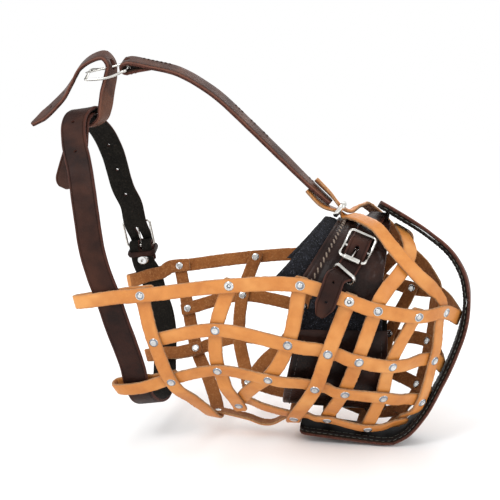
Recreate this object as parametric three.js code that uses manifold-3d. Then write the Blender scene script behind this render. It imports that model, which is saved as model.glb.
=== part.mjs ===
// Leather basket muzzle for a large dog: a riveted cage of straps, a padded nose cuff, a jaw cuff,
// a stiff bumper plate, and the neck, forehead and nose straps with their metal fittings.
// Millimetres. +X points to the dog's nose, +Z up, -Y is the dog's right side.
// The origin is the middle of the opening that the snout enters.
import * as THREE from 'three';
import { mergeVertices } from 'three/addons/utils/BufferGeometryUtils.js';
import Module from 'manifold-3d';

const wasm = await Module();
wasm.setup();

// ---- Driving dimensions
const GAP = 0.5; // left between layers that touch
const BASKET = { width: 11, thick: 2.6 };
const LAYER = BASKET.thick + GAP; // pitch of stacked basket straps
const NECK = { width: 20, thick: 3.2 };
const FOREHEAD = { width: 15, thick: 3.4 };
const NOSEBAND = { width: 15, thick: 2.4 };
const TAB = { width: 15, thick: 3 };
const PAD = { leather: 2.6, felt: 6 };
const CUFF = { leather: 2.6, felt: 3 };
const BUMPER = { width: 38, outer: 2.5, lining: 2.8 };
const RIVET = { shank: 1.5, cap: 3.7, base: 3.2, hole: 1.9 };
const WIRE = 1.1; // radius of the buckle wire
const PRONG = 0.8; // radius of the buckle prongs
const SLOT = 3.2; // width of the slots that the prongs pass through
const STEP = 8; // length of one facet along a strap

// Rivet net of the right side. One row per hoop, from the rim down to the keel line;
// the last row is the front centre line.
const NET = [
  [[-12, -68, 40], [-4, -62, 3], [6, -48, -30], [21, -30, -53], [33, 0, -71]],
  [[55, -72, 49], [44, -68, 15], [43, -54, -19], [55, -25, -53], [58, 0, -75]],
  [[107, -74, 51], [98, -70, 6], [82, -56, -24], [76, -27, -58], [76, 0, -78]],
  [[142, -73, 40], [127, -69, 0], [117, -56, -30], [99, -28, -62], [97, 0, -71]],
  [[162, -69, 33], [149, -65, -6], [139, -52, -34], [125, -28, -62], [125, 0, -73]],
  [[191, -56, 27], [173, -52, -12], [167, -42, -39], [156, -22, -70], [152, 0, -76]],
  [[211, -38, 27], [204, -30, -12], [196, -22, -47], [184, -12, -67], [172, 0, -77]],
  [[225, 0, 15], [213, 0, -24], [203, 0, -47], [192, 0, -66], [180, 0, -76]],
];
const HOOP_AT = [0, 52, 100, 133, 157, 183, 208, 236]; // distance along the bands
const BAND_AT = [0, 42, 75, 118, 148]; // distance down from the rim
const FRONT = NET.length - 1;
const KEEL = BAND_AT.length - 1;

// ---- Materials
const leather = (color) => new THREE.MeshStandardMaterial({ color, roughness: 0.55, metalness: 0 });
const nickel = () => new THREE.MeshStandardMaterial({ color: 0xc9c7c2, roughness: 0.25, metalness: 1 });
const felt = () => new THREE.MeshStandardMaterial({ color: 0x1e1e22, roughness: 1, metalness: 0 });
const TAN = 0xde9b55;
const BROWN = 0x553932;
const DARK = 0x3c2620;
const BLACK = 0x1b1a1a;

// ---- Small helpers
const V = (x, y, z) => new THREE.Vector3(x, y, z);
const P = (list) => list.map((p) => V(...p));
const mirror = (p) => V(p.x, -p.y, p.z);
const mix = (a, b, t) => a.clone().lerp(b, t);
const smooth = (t) => t * t * (3 - 2 * t);
const clamp = (t) => Math.min(1, Math.max(0, t));
const rad = THREE.MathUtils.degToRad;
const muzzle = new THREE.Group();

function addMesh(name, geometry, material) {
  const mesh = new THREE.Mesh(geometry, material);
  mesh.name = name;
  muzzle.add(mesh);
  return mesh;
}

// Closed body from rings of points; with `loop` the last ring joins the first instead of ending in a cap
function loft(rings, loop = false) {
  const k = rings[0].length;
  const count = rings.length;
  const index = [];
  for (let i = 0; i < (loop ? count : count - 1); i++) {
    const a = i * k;
    const b = ((i + 1) % count) * k;
    for (let j = 0; j < k; j++) {
      const n = (j + 1) % k;
      index.push(a + j, b + j, b + n, a + j, b + n, a + n);
    }
  }
  if (!loop) {
    const e = (count - 1) * k;
    for (let j = 1; j < k - 1; j++) index.push(0, j, j + 1, e, e + j + 1, e + j);
  }
  const points = rings.flat();
  let volume = 0;
  for (let i = 0; i < index.length; i += 3) {
    const [a, b, c] = [points[index[i]], points[index[i + 1]], points[index[i + 2]]];
    volume += a.dot(b.clone().cross(c));
  }
  if (volume < 0) index.reverse();
  const geometry = new THREE.BufferGeometry();
  const flat = points.flatMap((p) => [p.x, p.y, p.z]);
  geometry.setAttribute('position', new THREE.Float32BufferAttribute(flat, 3));
  geometry.setIndex(index);
  return geometry;
}

// ---- Booleans
function toSolid(geometry) {
  let g = geometry.clone();
  g.deleteAttribute('normal');
  g.deleteAttribute('uv');
  g = mergeVertices(g, 1e-4);
  return new wasm.Manifold(new wasm.Mesh({
    numProp: 3,
    vertProperties: new Float32Array(g.attributes.position.array),
    triVerts: new Uint32Array(g.index.array),
  }));
}

function toGeometry(solid) {
  const mesh = solid.getMesh();
  const geometry = new THREE.BufferGeometry();
  geometry.setAttribute('position', new THREE.BufferAttribute(mesh.vertProperties, 3));
  geometry.setIndex(new THREE.BufferAttribute(mesh.triVerts, 1));
  return geometry;
}

function subtract(geometry, cutters) {
  let solid = toSolid(geometry);
  for (const cutter of cutters) solid = solid.subtract(toSolid(cutter));
  return toGeometry(solid);
}

const join = (a, b) => toGeometry(toSolid(a).add(toSolid(b)));

// Rotation and place that carry local Y to `axis` at `point`
function along(point, axis) {
  const turn = new THREE.Quaternion().setFromUnitVectors(V(0, 1, 0), axis);
  return new THREE.Matrix4().compose(point, turn, V(1, 1, 1));
}

const drill = (point, axis, radius) =>
  new THREE.CylinderGeometry(radius, radius, 24, 8).applyMatrix4(along(point, axis));

// ---- Straps
// A strap is a list of stations: centre point, width direction, how far its edges bow back (sag)
// and a width factor for shaped ends.
function strap(stations, { width, thick }) {
  const flat = stations.every((s) => !s.sag);
  const rings = stations.map((s, i) => {
    const before = stations[Math.max(0, i - 1)].p;
    const after = stations[Math.min(stations.length - 1, i + 1)].p;
    const tangent = after.clone().sub(before).normalize();
    const side = s.side.clone().addScaledVector(tangent, -s.side.dot(tangent)).normalize();
    const normal = tangent.clone().cross(side);
    const half = (width / 2) * (s.taper ?? 1);
    const at = (column, face) => s.p.clone()
      .addScaledVector(side, column * half)
      .addScaledVector(normal, (face * thick) / 2 - (s.sag ?? 0) * column * column);
    if (flat) return [at(-1, 1), at(1, 1), at(1, -1), at(-1, -1)];
    return [at(-1, 1), at(0, 1), at(1, 1), at(1, -1), at(0, -1), at(-1, -1)];
  });
  return loft(rings);
}

// Stations along a smooth line through free points; `side` is one direction or one for each point
function freeRun(points, side, step = STEP) {
  const curve = new THREE.CatmullRomCurve3(points, false, 'centripetal');
  const sides = Array.isArray(side) ? side : points.map(() => side);
  const stations = [];
  for (let i = 0; i < points.length - 1; i++) {
    const n = Math.max(1, Math.round(points[i].distanceTo(points[i + 1]) / step));
    for (let k = 0; k < n; k++) {
      const t = (i + k / n) / (points.length - 1);
      stations.push({ p: curve.getPoint(t), side: mix(sides[i], sides[i + 1], k / n) });
    }
  }
  stations.push({ p: points.at(-1), side: sides.at(-1) });
  return stations;
}

// Outward frame of a surface whose first parameter runs forward and second runs down the right side
function surfaceFrame(surface, u, v) {
  const h = 0.5;
  const du = surface(u + h, v).sub(surface(u - h, v)).divideScalar(2 * h);
  const dv = surface(u, v + h).sub(surface(u, v - h)).divideScalar(2 * h);
  return { p: surface(u, v), du, dv, n: dv.clone().cross(du).normalize() };
}

// Stations of a strap of the given width that lies on a surface. The route lists [u, v, offset];
// the offset holds for `hold` mm around each route point and eases between them.
function surfaceRun(surface, route, width, step = STEP, hold = 7) {
  const curve = new THREE.CatmullRomCurve3(route.map(([u, v]) => V(u, v, 0)), false, 'centripetal');
  const uv = [];
  for (let i = 0; i < route.length - 1; i++) {
    const from = V(route[i][0], route[i][1], 0);
    const length = from.distanceTo(V(route[i + 1][0], route[i + 1][1], 0));
    const n = Math.max(2, Math.round(length / step));
    for (let k = 0; k < n + (i === route.length - 2 ? 1 : 0); k++) {
      const ease = smooth(clamp(((k / n) * length - hold) / Math.max(4, length - 2 * hold)));
      const off = route[i][2] + (route[i + 1][2] - route[i][2]) * ease;
      const q = curve.getPoint((i + k / n) / (route.length - 1));
      uv.push([q.x, q.y, off]);
    }
  }
  return uv.map(([u, v, off], i) => {
    const a = uv[Math.max(0, i - 1)];
    const b = uv[Math.min(uv.length - 1, i + 1)];
    const f = surfaceFrame(surface, u, v);
    const run = f.du.clone().multiplyScalar(b[0] - a[0]).addScaledVector(f.dv, b[1] - a[1]);
    const side = f.n.clone().cross(run.normalize());
    // solve side = x du + y dv, to find where the strap's edges meet the surface
    const [aa, bb, ab] = [f.du.dot(f.du), f.dv.dot(f.dv), f.du.dot(f.dv)];
    const [sa, sb] = [side.dot(f.du), side.dot(f.dv)];
    const det = aa * bb - ab * ab;
    const x = ((sa * bb - sb * ab) / det) * (width / 2);
    const y = ((sb * aa - sa * ab) / det) * (width / 2);
    const edges = surface(u + x, v + y).add(surface(u - x, v - y)).multiplyScalar(0.5);
    const sag = f.p.clone().sub(edges).dot(f.n);
    return { p: f.p.clone().addScaledVector(f.n, off), side, sag };
  });
}

// The same strap on the left side, run in the same sense or back again
const mirrorRun = (stations) => stations.map((s) => (
  { ...s, p: mirror(s.p), side: mirror(s.side).negate() }));
const mirrorBack = (stations) => stations.map((s) => (
  { ...s, p: mirror(s.p), side: mirror(s.side) })).reverse();

// ---- The basket's surface: a smooth net through the rivets, mirrored across the front and the keel
function netPoint(i, j) {
  if (i > FRONT) return mirror(netPoint(2 * FRONT - i, j));
  if (j > KEEL) return mirror(netPoint(i, 2 * KEEL - j));
  if (i < 0) return netPoint(0, j).multiplyScalar(2).sub(netPoint(1, j));
  if (j < 0) return netPoint(i, 0).multiplyScalar(2).sub(netPoint(i, 1));
  return V(...NET[i][j]);
}

function knot(list, i) {
  const last = list.length - 1;
  if (i > last) return 2 * list[last] - knot(list, 2 * last - i);
  if (i < 0) return 2 * list[0] - list[-i];
  return list[i];
}

function along1d(list, t, pointAt) {
  let i = 0;
  while (t > knot(list, i + 1) && i < 2 * list.length - 3) i++;
  const [k0, k1, k2, k3] = [-1, 0, 1, 2].map((d) => knot(list, i + d));
  const [p0, p1, p2, p3] = [-1, 0, 1, 2].map((d) => pointAt(i + d));
  const m1 = p2.clone().sub(p0).multiplyScalar((k2 - k1) / (k2 - k0));
  const m2 = p3.clone().sub(p1).multiplyScalar((k2 - k1) / (k3 - k1));
  const s = (t - k1) / (k2 - k1);
  return p1.clone().multiplyScalar(2 * s ** 3 - 3 * s ** 2 + 1)
    .addScaledVector(m1, s ** 3 - 2 * s ** 2 + s)
    .addScaledVector(p2, 3 * s ** 2 - 2 * s ** 3)
    .addScaledVector(m2, s ** 3 - s ** 2);
}

const basket = (u, v) => along1d(BAND_AT, v, (j) => along1d(HOOP_AT, u, (i) => netPoint(i, j)));
const hoopU = (h) => knot(HOOP_AT, h - 1); // hoops are counted from 1 at the rear
const onBasket = (route) => surfaceRun(basket, route, BASKET.width);

// ---- The nose cuff's surface, arched over the nose; and the jaw cuff's, hung under the jaw
const ARCH = 60; // mm of the second parameter for one radian
function noseCuff(u, v) {
  const s = u / ARCH;
  const turn = v / ARCH; // from the left foot over the nose to the right foot
  const foot = V(100 + 65 * s, 65 - 8 * s, 44 - 11 * s);
  const top = V(130 + 42 * s, 0, 91 - 3 * s);
  const lift = Math.sin(turn);
  return V(foot.x + (top.x - foot.x) * lift, foot.y * Math.cos(turn), foot.z + (top.z - foot.z) * lift);
}

function jawCuff(u, v) {
  const s = u / ARCH;
  const turn = v / ARCH; // from the right edge under the jaw to the left edge
  const edge = V(104 + 66 * s, 61 - 14 * s, 15 - 2 * s);
  const floor = V(88 + 82 * s, 0, -56 - 4 * s);
  const drop = Math.sin(turn);
  return V(edge.x + (floor.x - edge.x) * drop, -edge.y * Math.cos(turn), edge.z + (floor.z - edge.z) * drop);
}

// Closed sheet on a surface between two values of u, along v
function sheet(surface, [u0, u1], [v0, v1], offset, thick, steps = 18) {
  const rings = [];
  for (let i = 0; i <= steps; i++) {
    const v = v0 + ((v1 - v0) * i) / steps;
    const at = (u, face) => {
      const f = surfaceFrame(surface, u, v);
      return f.p.addScaledVector(f.n, offset + (face * thick) / 2);
    };
    rings.push([at(u0, 1), at(u1, 1), at(u1, -1), at(u0, -1)]);
  }
  return loft(rings);
}

// ---- Rivets: washer base inside, shank, dimpled cap outside
function rivet(name, point, axis, half) {
  const { shank, cap, base } = RIVET;
  const inner = -half - GAP;
  const outer = half + GAP;
  const profile = [
    [0, inner - 0.8], [base, inner - 0.8], [base, inner], [shank, inner], [shank, outer],
    [cap, outer], [cap - 0.4, outer + 1.1], [1.3, outer + 1.7], [0, outer + 1.2],
  ].map(([r, y]) => new THREE.Vector2(r, y));
  const mesh = addMesh(name, new THREE.LatheGeometry(profile, 8), nickel());
  mesh.applyMatrix4(along(point, axis));
}

// ---- Basket bands. Offsets along the surface: a band that passes over a hoop is +, under it is -
const OVER = LAYER / 2;
const UNDER = -LAYER / 2;
const farU = (u) => 2 * HOOP_AT[FRONT] - u;

// Routes of a band from hoop to hoop round the front; `list` gives [hoop, offset] for the right side
function bandRoute(row, list) {
  const right = list.map(([h, off]) => [hoopU(h), BAND_AT[row], off]);
  const left = list.toReversed().map(([h, off]) => [farU(hoopU(h)), BAND_AT[row], off]);
  return [...right, [HOOP_AT[FRONT], BAND_AT[row], 0], ...left];
}

// The band folds back behind hoop 1 into a loop for the neck strap. `points` run from the fold's
// inner layer to its outer layer on the right side.
function loopedBand(row, list, innerEnd, points, leftPoints) {
  const side = surfaceFrame(basket, 0, BAND_AT[row]).dv.normalize().negate();
  const nearU = HOOP_AT[0];
  const at = (u, offset) => {
    const f = surfaceFrame(basket, u, BAND_AT[row]);
    return f.p.addScaledVector(f.n, offset);
  };
  const innerPoints = [at(nearU + 7, innerEnd), at(nearU - 7, innerEnd)];
  const outerPoint = at(nearU - 7, list[0][1]);
  const rightLoop = freeRun([...innerPoints, ...P(points), outerPoint], side, 6);
  const leftLoop = freeRun([mirror(outerPoint), ...P(leftPoints).reverse(),
    ...innerPoints.toReversed().map(mirror)], mirror(side), 6);
  const middle = onBasket(bandRoute(row, list));
  return strap([...rightLoop, ...middle, ...leftLoop], BASKET);
}

const RIM_LOOP = [[-27, -63.9, 38.2], [-38, -63.6, 36.5], [-54, -64.5, 34], [-61, -67, 33],
  [-62, -70.5, 33], [-55, -72.5, 34], [-38, -71.4, 36.5], [-27, -71.7, 38.2]];
const RIM_LOOP_LEFT = [[-27, 63.6, 34.6], [-38, 63.4, 32], [-52, 63.8, 27], [-58, 66.5, 25.5],
  [-59, 69.8, 25.5], [-53, 72, 27], [-38, 71.4, 32], [-27, 71.9, 34.6]];
const THIRD_LOOP = [[-9, -43.6, -32.2], [-19, -43, -32.9], [-31, -43.4, -34.9], [-37.5, -47, -36.6],
  [-37.5, -52, -38.2], [-31, -54.3, -38], [-19, -52.9, -36.8], [-11, -51.4, -34.9]];

const rimList = [[1, LAYER], [2, OVER], [3, OVER], [4, OVER], [5, OVER], [6, OVER], [7, OVER]];
const rimBand = loopedBand(0, rimList, -LAYER, RIM_LOOP, RIM_LOOP_LEFT);
const secondBand = strap(onBasket([
  [hoopU(1) - 6, BAND_AT[1], UNDER],
  ...bandRoute(1, [[1, UNDER], [2, OVER], [3, OVER], [4, UNDER], [5, OVER], [6, OVER], [7, UNDER]]),
  [farU(hoopU(1) - 6), BAND_AT[1], UNDER],
]), BASKET);
const thirdBand = loopedBand(2, [[1, 0], [2, OVER], [3, OVER], [4, UNDER], [5, OVER], [6, OVER], [7, UNDER]],
  -LAYER, THIRD_LOOP, THIRD_LOOP.map(([x, y, z]) => [x, -y, z]));
const lowerRoute = [[hoopU(2) - 6, BAND_AT[3], -LAYER], [hoopU(2), BAND_AT[3], -LAYER],
  [hoopU(4), BAND_AT[3], UNDER], [hoopU(5), BAND_AT[3], OVER], [hoopU(6), BAND_AT[3], OVER],
  [hoopU(7) - 1, BAND_AT[3] + 2, 0], [hoopU(7) + 8, BAND_AT[KEEL] - 4, UNDER]];

// ---- Hoops, from the rim down the right side, under the jaw and up the left side
function hoopRoute(h, top, offsets) {
  const u = hoopU(h);
  const right = offsets.map((off, row) => [u, BAND_AT[row], off]);
  const left = offsets.slice(0, KEEL).toReversed()
    .map((off, k) => [u, 2 * BAND_AT[KEEL] - BAND_AT[KEEL - 1 - k], off]);
  return [[u, -top, offsets[0]], ...right, ...left, [u, 2 * BAND_AT[KEEL] + top, offsets[0]]];
}
const HOOP_TOP = 5; // how far a hoop's end stands above the rim's centre line

addMesh('second_band', secondBand, leather(TAN));

const hoops = {
  hoop_1: strap(onBasket(hoopRoute(1, HOOP_TOP, [0, OVER, LAYER, 0, OVER])), BASKET),
  hoop_4: strap(onBasket(hoopRoute(4, HOOP_TOP, [UNDER, OVER, OVER, OVER, OVER])), BASKET),
  hoop_6: strap(onBasket(hoopRoute(6, HOOP_TOP, [UNDER, UNDER, UNDER, UNDER, 0])), BASKET),
};

// Hoops 2 and 3 stop at the start of the lower band on each side, stacked on it
const hoop2 = onBasket([[hoopU(2), -HOOP_TOP, UNDER], [hoopU(2), 0, UNDER], [hoopU(2), BAND_AT[1], UNDER],
  [hoopU(2), BAND_AT[2], UNDER], [hoopU(2), BAND_AT[3] - 16, LAYER], [hoopU(2), BAND_AT[3] + 6, LAYER]]);
const hoop3 = onBasket([[hoopU(3), -HOOP_TOP, UNDER], [hoopU(3), 0, UNDER], [hoopU(3), BAND_AT[1], UNDER],
  [hoopU(3), BAND_AT[2], UNDER], [hoopU(2) + 16, BAND_AT[3] - 12, 0], [hoopU(2) - 5, BAND_AT[3] + 2, 0]]);

// Hoop 5 runs on over the nose as the cross strap: both ends butt together on the keel line
const crossRight = P([[169.5, -60.3, 48], [177.5, -54.5, 57], [182.5, -47, 65],
  [185, -37, 73], [183, -26, 79.5], [180, -13, 83.5]]);
const crossTop = V(178.5, 0, 85);
const hoop5Right = onBasket([[hoopU(5), BAND_AT[KEEL] - 2.5, 0], [hoopU(5), BAND_AT[3], UNDER],
  [hoopU(5), BAND_AT[2], UNDER], [hoopU(5), BAND_AT[1], UNDER],
  [hoopU(5), 0, UNDER - 0.4], [hoopU(5), -7, UNDER - 1.3]]);
const riseSide = hoop5Right.at(-1).side;
const topSide = V(-0.87, 0, 0.5);
const crossPoints = [...crossRight, crossTop, ...crossRight.toReversed().map(mirror)];
const crossSides = crossPoints.map((p, i) => {
  const t = 1 - Math.abs(i - crossRight.length) / crossRight.length;
  return mix(p.y < 0 ? riseSide : mirror(riseSide), topSide, smooth(t));
});
const crossRun = freeRun(crossPoints, crossSides, 8);
const hoop5 = strap([...hoop5Right, ...crossRun, ...mirrorBack(hoop5Right)], BASKET);

// ---- The long straps: hoop 7 runs on over the cross strap to the slide on top of the nose
const noseRun = P([[205.5, -41.6, 41.5], [198.5, -48.2, 48.6], [190.5, -53.2, 56.5], [181.5, -52.5, 66],
  [171.5, -48.4, 77], [160.4, -40, 89.4], [149.2, -25.2, 96.2], [143.5, -13, 97.2],
  [136.6, -0.5, 95.8]]);
const hoop7 = surfaceRun(basket, [[hoopU(7), BAND_AT[3] + 7, -LAYER], [hoopU(7), BAND_AT[3], -LAYER],
  [hoopU(7), BAND_AT[2], OVER], [hoopU(7), BAND_AT[1], OVER], [hoopU(7), 3, UNDER - 0.2],
  [hoopU(7), -7, UNDER - 1.4]], BASKET.width);
const tailSides = [hoop7.at(-1).side, V(-0.8, -0.5, -0.3), V(-0.7, -0.5, -0.45), V(-0.55, -0.55, -0.6),
  V(-0.45, -0.65, -0.6), V(-0.4, -0.8, -0.45), V(-0.3, -0.9, -0.25), V(-0.15, -0.97, -0.1), V(0, -1, 0)];
const SLIDE_AT = V(131.3, 0, 98.8);
const FOLD = LAYER / 2 + 0.5; // half the pitch of the two tails at the slide
function longStrap(sign, free) {
  const up = V(0.62, 0, 0.78).multiplyScalar(sign * FOLD);
  const spread = V(0.62, 0, 0.78).multiplyScalar(sign * (FOLD + 3.2));
  const rear = [SLIDE_AT.clone().add(up), V(121, 0, 106).add(spread), V(109, 0, 118).add(spread)];
  const part = [1.2, 1.6, 1.15]; // share of the fold's half pitch at the last three points
  const path = free.map((p, i) => p.clone().addScaledVector(up, part[i - free.length + 3] ?? 0));
  const top = freeRun([...path, ...rear], [...tailSides, V(0, -1, 0), V(0, -1, -0.25), V(0, -1, -0.4)], 8);
  return [...hoop7, ...top];
}
// the left strap stands off a little more, because the noseband passes under it
const standOff = V(0, -0.45, 0.89).multiplyScalar(2.2);
const noseRunLeft = noseRun.map((p, i) => (i > 3 && i < 7 ? p.clone().add(standOff) : p));
const rightTail = longStrap(-1, noseRun);
const leftTail = mirrorRun(longStrap(1, noseRunLeft));

// ---- Fasteners through the rim
const RIM_STACK = BASKET.thick + GAP / 2;
const rimHoles = [];
for (const [sideName, flip] of [['right', (p) => p], ['left', mirror]]) {
  for (let h = 1; h <= 7; h++) {
    const f = surfaceFrame(basket, hoopU(h), BAND_AT[0]);
    const half = h === 1 ? RIM_STACK + LAYER / 2 : RIM_STACK;
    const point = flip(f.p);
    const axis = flip(f.n);
    rimHoles.push({ h, sideName, cutter: drill(point, axis, RIVET.hole) });
    rivet(`rim_rivet_${h}_${sideName}`, point, axis, half);
  }
}
const holesOf = (h, sideName) => rimHoles
  .filter((hole) => hole.h === h && (!sideName || hole.sideName === sideName))
  .map((hole) => hole.cutter);

addMesh('rim_band', subtract(rimBand, rimHoles.map((hole) => hole.cutter)), leather(TAN));
addMesh('third_band', thirdBand, leather(TAN));
for (const [name, geometry] of Object.entries(hoops)) {
  addMesh(name, subtract(geometry, holesOf(Number(name.at(-1)))), leather(TAN));
}
addMesh('hoop_5', subtract(hoop5, holesOf(5)), leather(TAN));
for (const [sideName, flipRun] of [['right', (run) => run], ['left', mirrorRun]]) {
  addMesh(`hoop_2_${sideName}`, subtract(strap(flipRun(hoop2), BASKET), holesOf(2, sideName)), leather(TAN));
  addMesh(`hoop_3_${sideName}`, subtract(strap(flipRun(hoop3), BASKET), holesOf(3, sideName)), leather(TAN));
}
addMesh('long_strap_right', subtract(strap(rightTail, BASKET), holesOf(7, 'right')), leather(TAN));
addMesh('long_strap_left', subtract(strap(leftTail, BASKET), holesOf(7, 'left')), leather(TAN));

// The lower band runs from hoop 2 forward, crosses the keel behind the bumper's corner and returns
const lowerRight = onBasket(lowerRoute);
const lowerLeft = mirrorBack(lowerRight);
addMesh('lower_band', strap([...lowerRight, ...lowerLeft], BASKET), leather(TAN));

// The keel strap joins hoop 1 to hoop 4 under the jaw
const keelRun = onBasket([[hoopU(1) - 6, BAND_AT[KEEL], UNDER - 0.3], [hoopU(1), BAND_AT[KEEL], UNDER - 0.3],
  [hoopU(3), BAND_AT[KEEL], 0], [hoopU(4), BAND_AT[KEEL], UNDER], [hoopU(4) + 7, BAND_AT[KEEL], UNDER]]);
addMesh('keel_strap', strap(keelRun, BASKET), leather(TAN));

// ---- Bumper plate: one stiff profile swept to its width, outer leather over a stitched lining
const BUMPER_LINE = P([[162, 0, 103.5], [180, 0, 93], [199, 0, 81], [217, 0, 66], [227, 0, 50], [231, 0, 33],
  [230, 0, 13], [223, 0, -13], [213, 0, -37], [200, 0, -62], [187, 0, -77], [176, 0, -82.6]]);
const BUMPER_FOOT = P([[168, 0, -83.3], [102, 0, -77.3]]);
function bumperLayer(offset, thick) {
  const bend = freeRun(BUMPER_LINE, V(0, 1, 0), 8);
  const stations = [...bend, ...freeRun(BUMPER_FOOT, V(0, 1, 0), 22)];
  const shifted = stations.map((s, i) => {
    const before = stations[Math.max(0, i - 1)].p;
    const after = stations[Math.min(stations.length - 1, i + 1)].p;
    const normal = after.clone().sub(before).normalize().cross(s.side);
    return { p: s.p.clone().addScaledVector(normal, offset), side: s.side };
  });
  return strap(shifted, { width: BUMPER.width, thick });
}
addMesh('bumper_outer', bumperLayer(BUMPER.outer / 2 + 0.2, BUMPER.outer), leather(BROWN));
addMesh('bumper_lining', bumperLayer(-BUMPER.lining / 2 - 0.2, BUMPER.lining), leather(BLACK));

// ---- Nose cuff and jaw cuff
const HALF_TURN = Math.PI * ARCH;
addMesh('nose_cuff_leather', sheet(noseCuff, [0, 58], [0, HALF_TURN], 0, PAD.leather), leather(DARK));
addMesh('nose_cuff_felt', sheet(noseCuff, [-17, 56], [4, HALF_TURN - 4],
  -(PAD.leather + PAD.felt) / 2 - 0.9, PAD.felt), felt());
addMesh('jaw_cuff_leather', sheet(jawCuff, [0, 60], [0, HALF_TURN], 0, CUFF.leather), leather(DARK));
addMesh('jaw_cuff_felt', sheet(jawCuff, [2, 57], [-13, HALF_TURN + 13],
  -(CUFF.leather + CUFF.felt) / 2 - 1.2, CUFF.felt), felt());

// ---- Local frames for fittings: x along the strap, y along the bars, z outward
function fitting(origin, alongStrap, barHint) {
  const x = alongStrap.clone().normalize();
  const y = barHint.clone().addScaledVector(x, -barHint.dot(x)).normalize();
  const z = x.clone().cross(y);
  const matrix = new THREE.Matrix4().makeBasis(x, y, z).setPosition(origin);
  return { x, y, z, matrix, at: (a, b, c) => V(a, b, c).applyMatrix4(matrix) };
}

// Round wire along a path; a closed path makes a frame
function wire(points, radius, closed, sides = 6) {
  const count = points.length;
  const rings = points.map((p, i) => {
    const before = points[closed ? (i + count - 1) % count : Math.max(0, i - 1)];
    const after = points[closed ? (i + 1) % count : Math.min(count - 1, i + 1)];
    const tangent = after.clone().sub(before).normalize();
    const up = Math.abs(tangent.z) < 0.9 ? V(0, 0, 1) : V(0, 1, 0);
    const a = tangent.clone().cross(up).normalize();
    const b = tangent.clone().cross(a);
    return Array.from({ length: sides }, (_, k) => {
      const turn = (2 * Math.PI * k) / sides;
      return p.clone()
        .addScaledVector(a, radius * Math.cos(turn))
        .addScaledVector(b, radius * Math.sin(turn));
    });
  });
  return loft(rings, closed);
}

// Rounded-rectangle wire frame from x0 to x1, `half` wide each way; `dish` lowers its middle
function frameWire(x0, x1, half, z, dish = 0) {
  const corner = 2.5;
  const points = [];
  const corners = [[x1 - corner, half - corner, 0], [x0 + corner, half - corner, 90],
    [x0 + corner, corner - half, 180], [x1 - corner, corner - half, 270]];
  corners.forEach(([cx, cy, start], k) => {
    for (const turn of [0, 45, 90]) {
      const a = rad(start + turn);
      points.push(V(cx + corner * Math.cos(a), cy + corner * Math.sin(a), z));
    }
    if (k % 2 === 0) {
      for (const t of [0.25, 0.5, 0.75]) {
        const x = x1 - corner + (x0 - x1 + 2 * corner) * t;
        const y = cy > 0 ? half : -half;
        points.push(V(k === 0 ? x : x0 + x1 - x, y, z - dish * Math.sin(Math.PI * t)));
      }
    }
  });
  return wire(points, WIRE, true);
}

// Prong: an open hook round the bar at (0, zBar), then a straight arm whose tip rests on the far bar
function prongWire(zBar, tipX, tipZ) {
  const r = WIRE + 0.3 + PRONG;
  const points = [];
  for (let turn = 300; turn >= 90; turn -= 30) {
    points.push(V(r * Math.cos(rad(turn)), 0, zBar + r * Math.sin(rad(turn))));
  }
  for (const t of [0.35, 0.7, 0.92, 1]) points.push(V(tipX * t, 0, zBar + r + (tipZ - zBar - r) * t ** 1.5));
  return wire(points, PRONG, false);
}

// Flat-section loop round a strap: a keeper or a slide
function loopRing(halfWidth, halfHeight, thick, depth, z) {
  const corner = Math.min(2.5, halfHeight);
  const points = [];
  [[1, 1, 0], [-1, 1, 90], [-1, -1, 180], [1, -1, 270]].forEach(([sy, sz, start]) => {
    for (const turn of [0, 45, 90]) {
      const a = rad(start + turn);
      const y = sy * (halfWidth - corner) + corner * Math.cos(a);
      const h = sz * (halfHeight - corner) + corner * Math.sin(a);
      points.push({ y, h, a });
    }
  });
  return loft(points.map(({ y, h, a }) => {
    const out = [Math.cos(a) * thick, Math.sin(a) * thick];
    return [V(-depth / 2, y, z + h), V(depth / 2, y, z + h),
      V(depth / 2, y + out[0], z + h + out[1]), V(-depth / 2, y + out[0], z + h + out[1])];
  }), true);
}

const slotBox = (frame, x0, x1, z0, z1, width = SLOT) =>
  new THREE.BoxGeometry(x1 - x0, width, z1 - z0)
    .translate((x0 + x1) / 2, 0, (z0 + z1) / 2)
    .applyMatrix4(frame.matrix);

function place(name, geometry, frame, material) {
  addMesh(name, geometry, material).applyMatrix4(frame.matrix);
}

// ---- Neck strap: from the crown down the right side, through the loops, under the throat and up
// the left side to the buckle, where it folds round the heel bar as the chape
const neckBuckle = fitting(V(-47, 68.3, 58), V(-0.12, -0.285, 0.95), V(1, 0, 0.13));
const CHAPE = WIRE + GAP + NECK.thick / 2; // radius of the fold's middle layer
const neckRight = P([[-38, -67.5, 36.5], [-32, -65.5, 16], [-27, -62, -1], [-23, -55.5, -20],
  [-22, -48.5, -35.3], [-20, -37.5, -49], [-18, -19, -57.3]]);
const neckLeft = [...neckRight.slice(2).reverse().map(mirror), V(-33.5, 66.2, 15), V(-38.5, 67.3, 31.5)];
const neckCrown = P([[-69, 9, 173.5], [-74, 0, 176], [-76.5, -11, 173], [-76.5, -21, 165.5], [-73, -32, 152],
  [-63, -50, 131], [-56, -60, 101], [-50, -66, 72], [-44, -68.2, 53]]);
const fold = (frame, radius, z, from, to) => {
  const points = [];
  for (let turn = from; Math.abs(turn - to) > 1; turn += Math.sign(to - from) * 30) {
    points.push(frame.at(radius * Math.cos(rad(turn)), 0, z + radius * Math.sin(rad(turn))));
  }
  return [...points, frame.at(radius * Math.cos(rad(to)), 0, z + radius * Math.sin(rad(to)))];
};
const neckPoints = [...neckCrown, ...neckRight, V(-17, 0, -60), ...neckLeft,
  neckBuckle.at(-17, 0, -CHAPE - 0.2), ...fold(neckBuckle, CHAPE, 0, -90, 90), neckBuckle.at(-17, 0, CHAPE)];
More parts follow.
